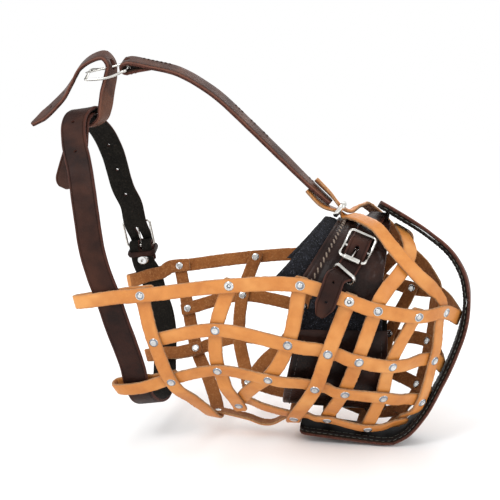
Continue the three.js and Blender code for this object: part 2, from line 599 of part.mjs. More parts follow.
const neckStrap = strap(freeRun(neckPoints, V(1, 0, 0.14), 14), NECK);
const neckRivetHole = drill(neckBuckle.at(-13, 0, 0), neckBuckle.z, RIVET.hole);
const neckSlot = slotBox(neckBuckle, -3.6, 6, -6, 6);
addMesh('neck_strap', subtract(neckStrap, [neckSlot, neckRivetHole]), leather(DARK));
const rivetAxis = neckBuckle.z.clone().negate();
rivet('neck_chape_rivet', neckBuckle.at(-13, 0, 0), rivetAxis, CHAPE + NECK.thick / 2 + 0.5);

// The far strap: tongue through the buckle, up the left side, over the crown and down behind the
// right strap to a rounded free end
const NECK_FRAME = 23; // heel bar to front bar
const tongueTop = CHAPE + NECK.thick + GAP;
const farPoints = [neckBuckle.at(-8.6, 0, tongueTop), neckBuckle.at(2.5, 0, tongueTop + 0.1),
  neckBuckle.at(NECK_FRAME, 0, -CHAPE), neckBuckle.at(40, 0, -3), ...P([[-57, 48, 110], [-62, 35, 141],
    [-67.5, 22, 159.5], [-73.5, 9, 168.5], [-75, -2, 171], [-76.5, -11, 166.5], [-75.5, -18, 156],
    [-74.5, -25, 144.5], [-78, -30, 127.5], [-79.5, -32.5, 119.5], [-80, -34, 115]])];
const farRun = freeRun(farPoints, V(1, 0, 0.14), 14);
farRun.at(-1).taper = 0.45;
farRun.at(-2).taper = 0.85;
const farSlot = slotBox(neckBuckle, 1.5, 19, -8, 12);
addMesh('far_neck_strap', subtract(strap(farRun, NECK), [farSlot]), leather(DARK));
place('neck_buckle_frame', frameWire(0, NECK_FRAME, 12, 0), neckBuckle, nickel());
place('neck_buckle_prong', prongWire(0, NECK_FRAME + 1, WIRE + 0.3 + PRONG), neckBuckle, nickel());
const neckKeeper = fitting(neckBuckle.at(-5.9, 0, 0), neckBuckle.x, neckBuckle.y);
const keeperMid = (tongueTop - CHAPE) / 2;
const keeperHeight = (tongueTop + CHAPE + NECK.thick) / 2 + 1.3; // half the height of the stack inside it
const keeperLoop = loopRing(NECK.width / 2 + 0.6, keeperHeight, 1.8, 4.4, keeperMid);
place('neck_keeper', keeperLoop, neckKeeper, leather(DARK));

// ---- Forehead strap: rolled a little to the right; its front end sits between the two long straps,
// its rear end folds round the front bar of the crown buckle
const ROLL = V(0, 0.91, 0.41);
const crownBuckle = fitting(V(-38, 0, 210.5), V(-33, 0, -7), ROLL.clone().negate());
const CROWN_FRAME = 33.7;
const headFold = WIRE + GAP + 0.3 + FOREHEAD.thick / 2;
const foreheadPoints = [...P([[124, 0, 103.7], [109, 0, 117], [84, 0, 141], [60, 0, 164], [32, 0, 189],
  [4, 0, 205.5], [-20, 0, 211.5]]), crownBuckle.at(-3, 0, headFold),
...fold(crownBuckle, headFold, 0, 90, -90), crownBuckle.at(-9, 0, -headFold),
crownBuckle.at(-20, 0, -headFold - 0.6)];
const foreheadSides = foreheadPoints.map((p, i) => mix(V(0, 1, 0), ROLL, Math.min(1, 0.3 + i / 3)));
addMesh('forehead_strap', subtract(strap(freeRun(foreheadPoints, foreheadSides, 12), FOREHEAD),
  [slotBox(crownBuckle, -3.6, 6, -6, 6)]), leather(BROWN));

// ---- Crown tab: starts under the neck straps, rises through the crown buckle and falls back to a point
const tabPoints = P([[-84, 0, 163.2], [-75, 0, 163.4], [-67, 0, 164.2], [-59.7, 0, 169.5], [-57, 0, 179],
  [-55, 0, 190], [-52, 0, 203], [-51.5, 0, 212], [-57, 0, 218.8], [-67, 0, 216.5], [-76.5, 0, 209.3],
  [-83, 0, 199], [-91, 0, 187.5], [-104, 0, 175], [-112, 0, 169], [-118.5, 0, 164.5]]);
const tabSides = P([[0, 1, 0], [0, 1, 0], [0, 1, 0], [0.25, 1, 0], [0.55, 1, 0], [0.6, 1, 0.1],
  [0.45, 1, 0.2], [0.2, 1, 0.4], [0, 0.88, 0.47], [0, 0.88, 0.47], [0, 0.9, 0.44], [0, 0.84, 0.54],
  [0, 0.75, 0.66], [0, 0.72, 0.69], [0, 0.75, 0.66], [0, 0.8, 0.6]]);
const tabRun = freeRun(tabPoints, tabSides, 9);
tabRun.at(-1).taper = 0.3;
tabRun.at(-2).taper = 0.75;
const crownHole = drill(V(-52, 0, 210), crownBuckle.x, 2.6);
addMesh('crown_tab', subtract(strap(tabRun, TAB), [crownHole]), leather(BROWN));
place('crown_buckle_frame', frameWire(0, CROWN_FRAME, 11.5, 0, 2), crownBuckle, nickel());
place('crown_buckle_prong', prongWire(0, CROWN_FRAME + 1, WIRE + 0.3 + PRONG), crownBuckle, nickel());

// ---- Noseband: a strap over the nose cuff, through a centre-bar buckle and a metal keeper, whose
// pointed end hangs outside the rim
const BUCKLE_AT = [31.6, 146.8]; // on the nose cuff's surface
const cuffFrame = surfaceFrame(noseCuff, ...BUCKLE_AT);
const noseBuckle = fitting(cuffFrame.p, cuffFrame.dv.clone().addScaledVector(cuffFrame.du, -0.12),
  cuffFrame.du);
const BAR_LOW = 4.9; // height of the centre bar over the cuff's middle layer
const BAR_HIGH = 8.5; // height of the frame's end bars
const NOSE_FRAME = 12.5; // centre bar to each end bar
const overNose = [[46, 50, 3.2], [46, 66, 5.8], [46, 79, 7], [42, 95, 4.4], [38.5, 112, 3.6], [34, 133, 5.4],
  [32, 146, 9.5], [30.2, 158.5, 5.4], [28, 168, 6.3]];
const noseRunOver = surfaceRun(noseCuff, overNose, NOSEBAND.width, 6, 1).map((s) => ({ ...s, sag: 0 }));
const noseTip = P([[132, -75, 56.5], [129.5, -79.3, 50], [126, -79.9, 40], [122.5, -79.2, 32],
  [121, -79, 29]]);
const noseTipSides = [noseRunOver.at(-1).side, ...noseTip.map(() => V(0.93, 0.05, -0.36))];
const noseTipRun = freeRun([noseRunOver.at(-1).p, ...noseTip], noseTipSides, 6);
noseTipRun.at(-1).taper = 0.45;
const nosebandRun = [...noseRunOver, ...noseTipRun.slice(1)];
addMesh('noseband_strap', subtract(strap(nosebandRun, NOSEBAND), [slotBox(noseBuckle, -0.3, 12.3, 0, 15)]),
  leather(DARK));

const CHAPE_THIN = 1.2;
const noseFold = WIRE + GAP + CHAPE_THIN / 2;
const chapePoints = [noseBuckle.at(9, 0, BAR_LOW - noseFold - 0.6), noseBuckle.at(3, 0, BAR_LOW - noseFold),
  ...fold(noseBuckle, noseFold, BAR_LOW, 270, 90), noseBuckle.at(4.5, 0, 5.6), noseBuckle.at(8.5, 0, 3.4)];
const chape = strap(freeRun(chapePoints, noseBuckle.y, 5), { width: 11, thick: CHAPE_THIN });
const chapeSlot = slotBox(noseBuckle, -4, 6, BAR_LOW - 3.6, 9);
addMesh('noseband_chape', subtract(chape, [chapeSlot]), leather(DARK));

const centreBar = new THREE.CylinderGeometry(WIRE, WIRE, 19.6, 8).translate(0, 0, BAR_LOW);
const noseFrame = frameWire(-NOSE_FRAME, NOSE_FRAME, 10, BAR_HIGH, BAR_HIGH - BAR_LOW);
place('noseband_buckle_frame', join(noseFrame, centreBar), noseBuckle, nickel());
const ROLLER = { inner: 1.4, outer: 2, half: 6 };
const prongTip = BAR_HIGH + ROLLER.outer + 0.8 + PRONG; // the prong's tip rests over the roller
place('noseband_buckle_prong', prongWire(BAR_LOW, NOSE_FRAME + 0.6, prongTip), noseBuckle, nickel());
const { inner, outer, half } = ROLLER;
const tube = [[inner, -half], [outer, -half], [outer, half], [inner, half], [inner, -half]]
  .map(([r, y]) => new THREE.Vector2(r, y));
const roller = fitting(noseBuckle.at(NOSE_FRAME, 0, BAR_HIGH), noseBuckle.x, noseBuckle.y);
place('noseband_roller', new THREE.LatheGeometry(tube, 12), roller, nickel());

const keeperStation = noseRunOver.at(-1);
const keeperDir = noseTipRun[1].p.clone().sub(noseRunOver.at(-2).p);
const noseKeeper = fitting(keeperStation.p, keeperDir, keeperStation.side);
const noseKeeperLoop = loopRing(NOSEBAND.width / 2 + 1, NOSEBAND.thick / 2 + 2, 1.1, 3, 0);
place('noseband_keeper', noseKeeperLoop, noseKeeper, nickel());

// ---- Slide that gathers the two long straps on top of the nose
const noseSlide = fitting(SLIDE_AT, V(-0.78, 0, 0.62), V(0, 1, 0));
const slideLoop = loopRing(BASKET.width / 2 + 2.4, FOLD + BASKET.thick / 2 + 1.6, 1.4, 4, 0);
place('nose_slide', slideLoop, noseSlide, nickel());

export default muzzle;
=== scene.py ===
"""Looks of the leather basket muzzle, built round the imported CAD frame.

Shapes are worked out in millimetres in the frame's own axes (+X to the nose, +Z up, -Y the dog's
right side) and become metres when a mesh is made.
"""
import math

import bpy
import numpy as np
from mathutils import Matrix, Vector, noise


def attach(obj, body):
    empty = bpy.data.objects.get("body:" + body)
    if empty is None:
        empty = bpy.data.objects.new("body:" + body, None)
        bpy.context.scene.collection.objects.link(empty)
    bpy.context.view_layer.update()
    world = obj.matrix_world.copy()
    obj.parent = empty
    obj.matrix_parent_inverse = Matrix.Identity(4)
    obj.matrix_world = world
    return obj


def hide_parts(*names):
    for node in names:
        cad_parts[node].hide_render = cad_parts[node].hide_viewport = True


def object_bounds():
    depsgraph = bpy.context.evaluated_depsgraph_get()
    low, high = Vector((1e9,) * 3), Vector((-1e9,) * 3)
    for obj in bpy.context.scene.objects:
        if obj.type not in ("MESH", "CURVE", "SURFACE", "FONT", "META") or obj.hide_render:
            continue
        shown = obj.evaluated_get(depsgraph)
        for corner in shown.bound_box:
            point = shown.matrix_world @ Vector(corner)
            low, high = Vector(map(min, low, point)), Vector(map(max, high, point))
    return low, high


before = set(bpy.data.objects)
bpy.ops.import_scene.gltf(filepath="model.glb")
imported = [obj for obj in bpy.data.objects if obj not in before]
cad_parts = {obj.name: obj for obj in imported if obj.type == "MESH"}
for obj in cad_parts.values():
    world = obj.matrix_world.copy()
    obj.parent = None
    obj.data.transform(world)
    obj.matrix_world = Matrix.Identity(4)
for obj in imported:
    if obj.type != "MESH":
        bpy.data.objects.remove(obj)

CAD_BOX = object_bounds()
MM = 0.001
NOISE_SEED = 7
noise.seed_set(NOISE_SEED)  # noise_vector is seeded from the clock without it

# ---- Driving sizes, the same as the frame's
GAP = 0.5
BASKET = (11, 2.6)  # width and thickness of each kind of strap
NECK = (20, 3.2)
FOREHEAD = (15, 3.4)
NOSEBAND = (15, 2.4)
TAB = (15, 3)
CHAPE = (11, 1.2)
LAYER = BASKET[1] + GAP
OVER, UNDER = LAYER / 2, -LAYER / 2
WIRE, PRONG, SLOT = 1.1, 0.8, 3.2
STEP = 1.6  # length of one facet along a strap
ARCH = 60  # radius that the cuffs' run along their arch is counted on
HALF_TURN = math.pi * ARCH
TUBE_SIDES, RIVET_SIDES = 14, 22  # sides of wires and holes, and of rivets


def V(x, y, z):
    return Vector((x, y, z))


def P(points):
    return [Vector(p) for p in points]


def mirror(p):
    return V(p.x, -p.y, p.z)


def clamp(t):
    return min(1.0, max(0.0, t))


def smooth(t):
    return t * t * (3 - 2 * t)


def rounded(t):
    """A quarter circle that rises from 0 to 1."""
    return math.sqrt(clamp(1 - (1 - clamp(t)) ** 2))


def spoke(degrees, radius=1.0, x=0.0, y=0.0):
    """The end of a circle's spoke, as (x, y)."""
    a = math.radians(degrees)
    return x + radius * math.cos(a), y + radius * math.sin(a)


def arc(radius, start, end, x=0.0, y=0.0, step=15):
    """Points (x, y) along an arc round a centre; its angles are in degrees."""
    count = round(abs(end - start) / step)
    return [spoke(start + (end - start) * k / count, radius, x, y) for k in range(count + 1)]


def circle(radius, sides):
    return arc(radius, 0, 360, step=360 / sides)[:-1]


# ---- Camera
LOOK, DISTANCE = V(0.060, 0, 0.065), 0.760
AZIMUTH = ELEVATION = math.radians(8)
back = V(math.sin(AZIMUTH) * math.cos(ELEVATION), -math.cos(AZIMUTH) * math.cos(ELEVATION), math.sin(ELEVATION))
camera_data = bpy.data.cameras.new("camera")
camera_data.sensor_width = 36
camera_data.lens = 68.4
camera = bpy.data.objects.new("camera", camera_data)
camera.location = LOOK + back * DISTANCE
camera.rotation_euler = back.to_track_quat("Z", "Y").to_euler()
bpy.context.scene.collection.objects.link(camera)
bpy.context.scene.camera = camera


# ---- Materials
def colour(r, g, b):
    linear = [c / 255 / 12.92 if c <= 10 else ((c / 255 + 0.055) / 1.055) ** 2.4 for c in (r, g, b)]
    return (*linear, 1)


class Tree:
    """A material's node tree, written as nested calls."""

    def __init__(self, name):
        self.material = bpy.data.materials.new(name)
        self.material.use_nodes = True
        self.nodes = self.material.node_tree.nodes
        self.links = self.material.node_tree.links
        self.shader = self.nodes["Principled BSDF"]
        self.object = self.add("ShaderNodeTexCoord").outputs["Object"]
        across = self.add("ShaderNodeSeparateXYZ", Vector=self.add("ShaderNodeUVMap").outputs["UV"])
        self.along, self.across = across.outputs["X"], across.outputs["Y"]

    def connect(self, socket, value):
        if isinstance(value, bpy.types.NodeSocket):
            self.links.new(value, socket)
        elif value is not None:
            socket.default_value = value

    def add(self, kind, settings=None, **inputs):
        """A node. Its inputs are named, with _ for a space, or numbered, as _0."""
        node = self.nodes.new(kind)
        for key, value in (settings or {}).items():
            setattr(node, key, value)
        for key, value in inputs.items():
            self.connect(node.inputs[int(key[1:]) if key[0] == "_" else key.replace("_", " ")], value)
        return node

    def noise(self, scale, detail=3, rough=0.5, distortion=0):
        return self.add("ShaderNodeTexNoise", Vector=self.object, Scale=scale, Detail=detail, Roughness=rough,
                        Distortion=distortion).outputs["Fac"]

    def cells(self, scale, feature="F1"):
        return self.add("ShaderNodeTexVoronoi", {"feature": feature}, Vector=self.object,
                        Scale=scale).outputs["Distance"]

    def math(self, operation, a, b=0.0):
        return self.add("ShaderNodeMath", {"operation": operation}, _0=a, _1=b).outputs[0]

    def range(self, value, low, high, to_low=0.0, to_high=1.0):
        return self.add("ShaderNodeMapRange", Value=value, From_Min=low, From_Max=high, To_Min=to_low,
                        To_Max=to_high).outputs[0]

    def mix(self, factor, a, b):
        return self.add("ShaderNodeMix", {"data_type": "RGBA"}, _0=factor, _6=a, _7=b).outputs[2]

    def tint(self, tone, shade, mask, low, high, to_low=0.0, to_high=1.0):
        """Mixes a colour in, by where the mask lies between two levels."""
        return self.mix(self.range(mask, low, high, to_low, to_high), tone, colour(*shade))

    def bump(self, height, strength, distance, normal=None):
        return self.add("ShaderNodeBump", Height=height, Strength=strength, Distance=distance,
                        Normal=normal).outputs["Normal"]

    def edge(self, start):
        """0 in the middle of a strap, rising to 1 at its edges."""
        off_centre = self.math("MULTIPLY", self.math("ABSOLUTE", self.math("SUBTRACT", self.across, 0.5)), 2.0)
        return self.range(off_centre, start, 1.0)

    def finish(self, base, roughness, normal=None, **sockets):
        for name, value in {"Base Color": base, "Roughness": roughness, "Normal": normal, **sockets}.items():
            self.connect(self.shader.inputs[name.replace("_", " ")], value)
        return self.material


def grain_leather(name, base, shade, light, edge, roughness=0.5, pores=620, edge_start=0.72, relief=0.5, coat=0.0,
                  shine=0.3):
    t = Tree(name)
    patches, scuffs = t.noise(42, 5, 0.65, 0.4), t.noise(210, 5, 0.75, 1.5)
    tone = t.tint(colour(*shade), base, patches, 0.36, 0.62)
    tone = t.tint(tone, light, t.noise(24, 3, 0.6), 0.5, 0.68)
    tone = t.tint(tone, light, scuffs, 0.6, 0.72, 0, 0.45)
    fine = t.noise(900, 4, 0.7)
    tone = t.tint(tone, shade, fine, 0.62, 0.85, 0, 0.35)
    worn = t.math("MULTIPLY", t.edge(edge_start), t.range(t.noise(150, 3, 0.6), 0.3, 0.7, 0.45, 1.0))
    tone = t.mix(worn, tone, colour(*edge))
    grain = t.math("ADD", t.math("MULTIPLY", t.cells(pores, "SMOOTH_F1"), 0.6), t.math("MULTIPLY", fine, 0.5))
    wrinkles = t.noise(75, 5, 0.65, distortion=0.6)
    normal = t.bump(wrinkles, 0.25 * relief, 0.0012)
    normal = t.bump(grain, relief, 0.00035, normal)
    rough = t.range(t.noise(60, 3, 0.5), 0.3, 0.7, roughness - 0.07, roughness + 0.1)
    return t.finish(tone, rough, normal, Specular_IOR_Level=shine, Coat_Weight=coat, Coat_Roughness=0.35)


def flesh_leather(name, base, shade, light, sheen=0.1):
    t = Tree(name)
    fibres = t.noise(520, 6, 0.75, distortion=0.8)
    tone = t.tint(colour(*shade), base, t.noise(45, 4, 0.6), 0.3, 0.7)
    tone = t.tint(tone, light, fibres, 0.5, 0.75)
    normal = t.bump(t.math("ADD", fibres, t.noise(170, 4, 0.6)), 0.9, 0.0007)
    return t.finish(tone, 0.9, normal, Specular_IOR_Level=0.12, Sheen_Weight=sheen, Sheen_Roughness=0.6)


def cut_edge(name, base, shade, light):
    t = Tree(name)
    tone = t.tint(colour(*shade), base, t.noise(380, 5, 0.7), 0.35, 0.65)
    tone = t.tint(tone, light, t.noise(1300, 4, 0.7), 0.55, 0.75)
    normal = t.bump(t.noise(900, 5, 0.75), 0.9, 0.0006)
    return t.finish(tone, 0.85, normal, Specular_IOR_Level=0.12, Sheen_Weight=0.05, Sheen_Roughness=0.5)


def felt_cloth(name):
    t = Tree(name)
    fibres = t.noise(700, 6, 0.8, distortion=1.2)
    tone = t.tint(colour(10, 10, 12), (30, 30, 35), t.noise(90, 3, 0.6), 0.3, 0.7)
    tone = t.tint(tone, (62, 65, 76), fibres, 0.52, 0.66)
    specks = t.range(t.cells(760), 0.0, 0.34, 1.0, 0.0)
    tone = t.mix(t.math("MULTIPLY", specks, t.range(t.noise(300, 2), 0.44, 0.54)), tone, colour(104, 108, 120))
    normal = t.bump(t.math("ADD", fibres, t.noise(240, 4, 0.7)), 1.0, 0.0018)
    return t.finish(tone, 1.0, normal, Specular_IOR_Level=0.05, Sheen_Weight=0.04, Sheen_Roughness=0.7)


def thread(name, base, shade):
    t = Tree(name)
    twist = t.noise(1500, 3, 0.6)
    tone = t.tint(colour(*shade), base, twist, 0.35, 0.65)
    return t.finish(tone, 0.7, t.bump(twist, 0.6, 0.0003), Sheen_Weight=0.2)


def nickel(name, base, roughness=0.16):
    t = Tree(name)
    tone = t.tint(colour(*base), [int(c * 0.8) for c in base], t.noise(160, 4, 0.6), 0.35, 0.7)
    rough = t.range(t.noise(420, 4, 0.7), 0.3, 0.75, roughness - 0.04, roughness + 0.12)
    normal = t.bump(t.noise(260, 3, 0.5), 0.06, 0.0002)
    return t.finish(tone, rough, normal, Metallic=1.0)


TAN_GRAIN = grain_leather("tan_grain", (203, 132, 63), (186, 114, 50), (213, 147, 79), (176, 112, 58), 0.42,
                          relief=0.5, shine=0.4)
TAN_FLESH = flesh_leather("tan_flesh", (156, 96, 48), (122, 70, 33), (188, 132, 80))
TAN_EDGE = cut_edge("tan_cut_edge", (182, 140, 100), (136, 98, 66), (212, 182, 148))
DARK_GRAIN = grain_leather("dark_grain", (44, 23, 17), (28, 15, 12), (62, 35, 25), (90, 49, 38), 0.5, relief=0.6,
                           edge_start=0.84, shine=0.14)
DARK_FLESH = flesh_leather("dark_flesh", (30, 27, 23), (17, 16, 14), (50, 46, 40), sheen=0.0)
DARK_EDGE = cut_edge("dark_cut_edge", (86, 48, 40), (46, 26, 22), (124, 76, 60))
CUFF_GRAIN = grain_leather("cuff_grain", (36, 21, 17), (19, 12, 10), (58, 36, 29), (62, 38, 31), 0.3, relief=0.9,
                           edge_start=0.93, coat=0.04, shine=0.12)
BROWN_GRAIN = grain_leather("brown_grain", (76, 46, 35), (50, 30, 24), (102, 66, 49), (116, 72, 56), 0.48, relief=0.8,
                            edge_start=0.7, shine=0.22)
BROWN_FLESH = flesh_leather("brown_flesh", (52, 36, 28), (32, 23, 18), (82, 60, 46), sheen=0.0)
BROWN_EDGE = cut_edge("brown_cut_edge", (88, 52, 43), (50, 29, 25), (126, 82, 66))
BLACK_GRAIN = grain_leather("black_grain", (16, 14, 14), (9, 8, 8), (30, 27, 26), (36, 29, 27), 0.6, relief=0.6,
                            shine=0.06)
BLACK_EDGE = cut_edge("black_cut_edge", (26, 20, 19), (12, 10, 10), (50, 42, 40))
FELT = felt_cloth("speckled_felt")
PALE_THREAD = thread("pale_thread", (150, 130, 112), (74, 60, 50))
GREY_THREAD = thread("grey_thread", (96, 100, 90), (52, 56, 50))
BROWN_THREAD = thread("brown_thread", (52, 36, 30), (30, 20, 18))
NICKEL = nickel("bright_nickel", (226, 224, 218))
STEEL = nickel("rivet_nickel", (222, 223, 222), 0.16)
# darker nickel for the rivet caps' rims, grooves and hollows: painted shade and dark reflection
SHADED_NICKEL = nickel("painted_shade_nickel", (150, 156, 164), 0.22)

TAN = (TAN_GRAIN, TAN_FLESH, TAN_EDGE)
DARK = (DARK_GRAIN, DARK_FLESH, DARK_EDGE)
BROWN = (BROWN_GRAIN, BROWN_FLESH, BROWN_EDGE)
BLACK = (BLACK_GRAIN, BLACK_GRAIN, BLACK_EDGE)


# ---- Mesh building
class Build:
    """Collects rings of points into one mesh with a material for each column of faces."""

    def __init__(self, *materials):
        self.materials = list(materials)
        self.verts, self.faces, self.slots, self.uvs = [], [], [], []

    def rings(self, rings, columns=None, loop=False, uv=None, slot=0):
        """rings is (count, k, 3) in mm. columns gives the materials along each ring, uv each point's."""
        rings = np.asarray(rings, float)
        count, k = rings.shape[:2]
        start = len(self.verts)
        self.verts.extend(map(tuple, rings.reshape(-1, 3)))
        uv = np.zeros((count, k, 2)) + 0.5 if uv is None else uv
        pairs = range(count if loop else count - 1)
        quads, slots = [], []
        for i in pairs:
            n = (i + 1) % count
            for j in range(k):
                m = (j + 1) % k
                quads.append(((i, j), (n, j), (n, m), (i, m)))
                slots.append(columns[i][j] if columns is not None else slot)
        if not loop:
            cap = columns[0][-1] if columns is not None else slot
            quads.append(tuple((0, j) for j in range(k)))
            quads.append(tuple((count - 1, j) for j in reversed(range(k))))
            slots += [cap, cap]
        volume = 0.0
        for quad in quads:
            a, b, c = (rings[i, j] for i, j in quad[:3])
            volume += float(np.dot(a, np.cross(b, c)))
            if len(quad) == 4:
                d = rings[quad[3]]
                volume += float(np.dot(a, np.cross(c, d)))
        for quad, s in zip(quads, slots):
            ordered = quad if volume > 0 else quad[::-1]
            self.faces.append([start + i * k + j for i, j in ordered])
            self.uvs.extend(tuple(uv[i, j]) for i, j in ordered)
            self.slots.append(s)
        return self

    def lathe(self, profile, point, axis, sides, groove=()):
        """Turns (radius, height) points round an axis. The profile starts and ends on the axis.
        groove lists the steps of the profile that take the second material."""
        turn = V(0, 0, 1).rotation_difference(axis).to_matrix()
        inner = profile[1:-1]
        first = len(self.verts)
        spokes = [V(0, 0, profile[0][1])]
        spokes += [V(x, y, h) for r, h in inner for x, y in circle(r, sides)]
        spokes.append(V(0, 0, profile[-1][1]))
        self.verts.extend(tuple(turn @ p + point) for p in spokes)
        last = len(self.verts) - 1
        for s in range(sides):
            n = (s + 1) % sides
            self.face([first, first + 1 + n, first + 1 + s])
            for i in range(len(inner) - 1):
                a, b = first + 1 + i * sides, first + 1 + (i + 1) * sides
                self.face([a + s, a + n, b + n, b + s], int(i in groove))
            b = first + 1 + (len(inner) - 1) * sides
            self.face([b + s, b + n, last])
        return self

    def face(self, indices, slot=0):
        self.faces.append(indices)
        self.slots.append(slot)
        self.uvs.extend([(0.5, 0.5)] * len(indices))

    def make(self, name, crease=38, warp=None):
        verts = np.array(self.verts)
        if warp:
            verts = warp(verts)
        mesh = bpy.data.meshes.new(name)
        mesh.from_pydata((verts * MM).tolist(), [], self.faces)
        for material in self.materials:
            mesh.materials.append(material)
        mesh.polygons.foreach_set("material_index", self.slots)
        layer = mesh.uv_layers.new(name="strap")
        layer.data.foreach_set("uv", np.array(self.uvs).ravel())
        mesh.polygons.foreach_set("use_smooth", [True] * len(mesh.polygons))
        mesh.set_sharp_from_angle(angle=math.radians(crease))
        mesh.update()
        obj = bpy.data.objects.new(name, mesh)
        bpy.context.scene.collection.objects.link(obj)
        return obj


def settle(piece, body, slot, *nodes):
    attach(piece, body)
    if nodes:
        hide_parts(*nodes)
    return piece


def cut(piece, cutters):
    """Punches the slots and holes in a piece; the cutters are Builds."""
    for i, cutter in enumerate(cutters):
        tool = cutter.make(f"punch_{i}")
        modifier = piece.modifiers.new("punch", "BOOLEAN")
        modifier.operation, modifier.solver, modifier.object = "DIFFERENCE", "EXACT", tool
        bpy.context.view_layer.update()
        depsgraph = bpy.context.evaluated_depsgraph_get()
        mesh = bpy.data.meshes.new_from_object(piece.evaluated_get(depsgraph))
        piece.modifiers.remove(modifier)
        piece.data = mesh
        bpy.data.objects.remove(tool)
    return piece


# ---- Straps
class Station:
    def __init__(self, p, side, sag=0.0, taper=1.0, turned=False):
        self.p, self.side, self.sag, self.taper = p, side, sag, taper
        self.turned = turned  # its rough face shows where the smooth one would


class Curve:
    """Centripetal Catmull-Rom curve, t from 0 to 1."""

    def __init__(self, points):
        self.points = points

    def at(self, t):
        pts = self.points
        last = len(pts) - 1
        whole = t * last
        i = min(int(whole), last - 1)
        w = whole - i
        p0 = pts[i - 1] if i > 0 else pts[0] * 2 - pts[1]
        p1, p2 = pts[i], pts[i + 1]
        p3 = pts[i + 2] if i + 2 <= last else pts[last] * 2 - pts[last - 1]
        d1 = max((p1 - p2).length ** 0.5, 1e-4)
        d0 = (p0 - p1).length ** 0.5 or d1
        d2 = (p2 - p3).length ** 0.5 or d1
        m1 = ((p1 - p0) / d0 - (p2 - p0) / (d0 + d1) + (p2 - p1) / d1) * d1
        m2 = ((p2 - p1) / d1 - (p3 - p1) / (d1 + d2) + (p3 - p2) / d2) * d1
        return (p1 + m1 * w + (p2 * 3 - p1 * 3 - m1 * 2 - m2) * w ** 2
                + (p1 * 2 - p2 * 2 + m1 + m2) * w ** 3)


def free_run(points, side, step=STEP):
    curve = Curve(points)
    sides = side if isinstance(side, list) else [side] * len(points)
    run = []
    for i in range(len(points) - 1):
        n = max(1, round((points[i] - points[i + 1]).length / step))
        for k in range(n):
            run.append(Station(curve.at((i + k / n) / (len(points) - 1)), sides[i].lerp(sides[i + 1], k / n)))
    run.append(Station(points[-1].copy(), sides[-1].copy()))
    return run


def surface_frame(surface, u, v, h=0.5):
    du = (surface(u + h, v) - surface(u - h, v)) / (2 * h)
    dv = (surface(u, v + h) - surface(u, v - h)) / (2 * h)
    return surface(u, v), du, dv, dv.cross(du).normalized()


def surface_run(surface, route, width, step=STEP, hold=7):
    curve = Curve([V(u, v, 0) for u, v, _ in route])
    uv = []
    for i in range(len(route) - 1):
        length = (V(*route[i][:2], 0) - V(*route[i + 1][:2], 0)).length
        n = max(2, round(length / step))
        for k in range(n + (i == len(route) - 2)):
            ease = smooth(clamp((k / n * length - hold) / max(4, length - 2 * hold)))
            off = route[i][2] + (route[i + 1][2] - route[i][2]) * ease
            q = curve.at((i + k / n) / (len(route) - 1))
            uv.append((q.x, q.y, off))
    run = []
    for i, (u, v, off) in enumerate(uv):
        a, b = uv[max(0, i - 1)], uv[min(len(uv) - 1, i + 1)]
        p, du, dv, n = surface_frame(surface, u, v)
        side = n.cross((du * (b[0] - a[0]) + dv * (b[1] - a[1])).normalized())
        aa, bb, ab = du.dot(du), dv.dot(dv), du.dot(dv)
        sa, sb = side.dot(du), side.dot(dv)
        det = aa * bb - ab * ab
        x = (sa * bb - sb * ab) / det * width / 2
        y = (sb * aa - sa * ab) / det * width / 2
        edges = (surface(u + x, v + y) + surface(u - x, v - y)) / 2
        run.append(Station(p + n * off, side, (p - edges).dot(n)))
    return run


def mirror_run(run):
    return [Station(mirror(s.p), -mirror(s.side), s.sag, s.taper, s.turned) for s in run]


def mirror_back(run):
    return [Station(mirror(s.p), mirror(s.side), s.sag, s.taper, s.turned) for s in run][::-1]


def wobble(s, seed, size):
    """Smooth hand-made unevenness along a strap."""
    return size * (math.sin(s * 0.071 + seed) * 0.5 + math.sin(s * 0.173 + seed * 2.3) * 0.3
                   + math.sin(s * 0.39 + seed * 4.1) * 0.2)


class Strip:
    """The frames along a run: points, side and normal vectors, and distance."""

    def __init__(self, run, size):
        self.width, self.thick = size
        self.p = np.array([s.p for s in run])
        after = np.vstack([self.p[1:], self.p[-1:]])
        before = np.vstack([self.p[:1], self.p[:-1]])
        t = after - before
        t /= np.linalg.norm(t, axis=1, keepdims=True)
        side = np.array([s.side for s in run])
        side = side - t * np.sum(side * t, axis=1, keepdims=True)
        self.side = side / np.linalg.norm(side, axis=1, keepdims=True)
        self.normal = np.cross(t, self.side)
        self.sag = np.array([s.sag for s in run])
        self.taper = np.array([s.taper for s in run])
        self.s = np.concatenate([[0], np.cumsum(np.linalg.norm(np.diff(self.p, axis=0), axis=1))])

    def at(self, s, column, height):
        """Point at distance s; column from -1 to 1 across; height in mm over the middle layer."""
        pick = lambda a: np.array([np.interp(s, self.s, a[:, k]) for k in range(3)])
        p, side, normal = pick(self.p), pick(self.side), pick(self.normal)
        sag = np.interp(s, self.s, self.sag)
        half = self.width / 2 * np.interp(s, self.s, self.taper)
        return Vector(p + side * column * half + normal * (height - sag * column ** 2))


CORNER_TURNS = (0, 25, 50, 90)  # degrees round a strap's rounded corner
END_PULL, WIDTH_WOBBLE = 0.22, 0.016  # shares of the width


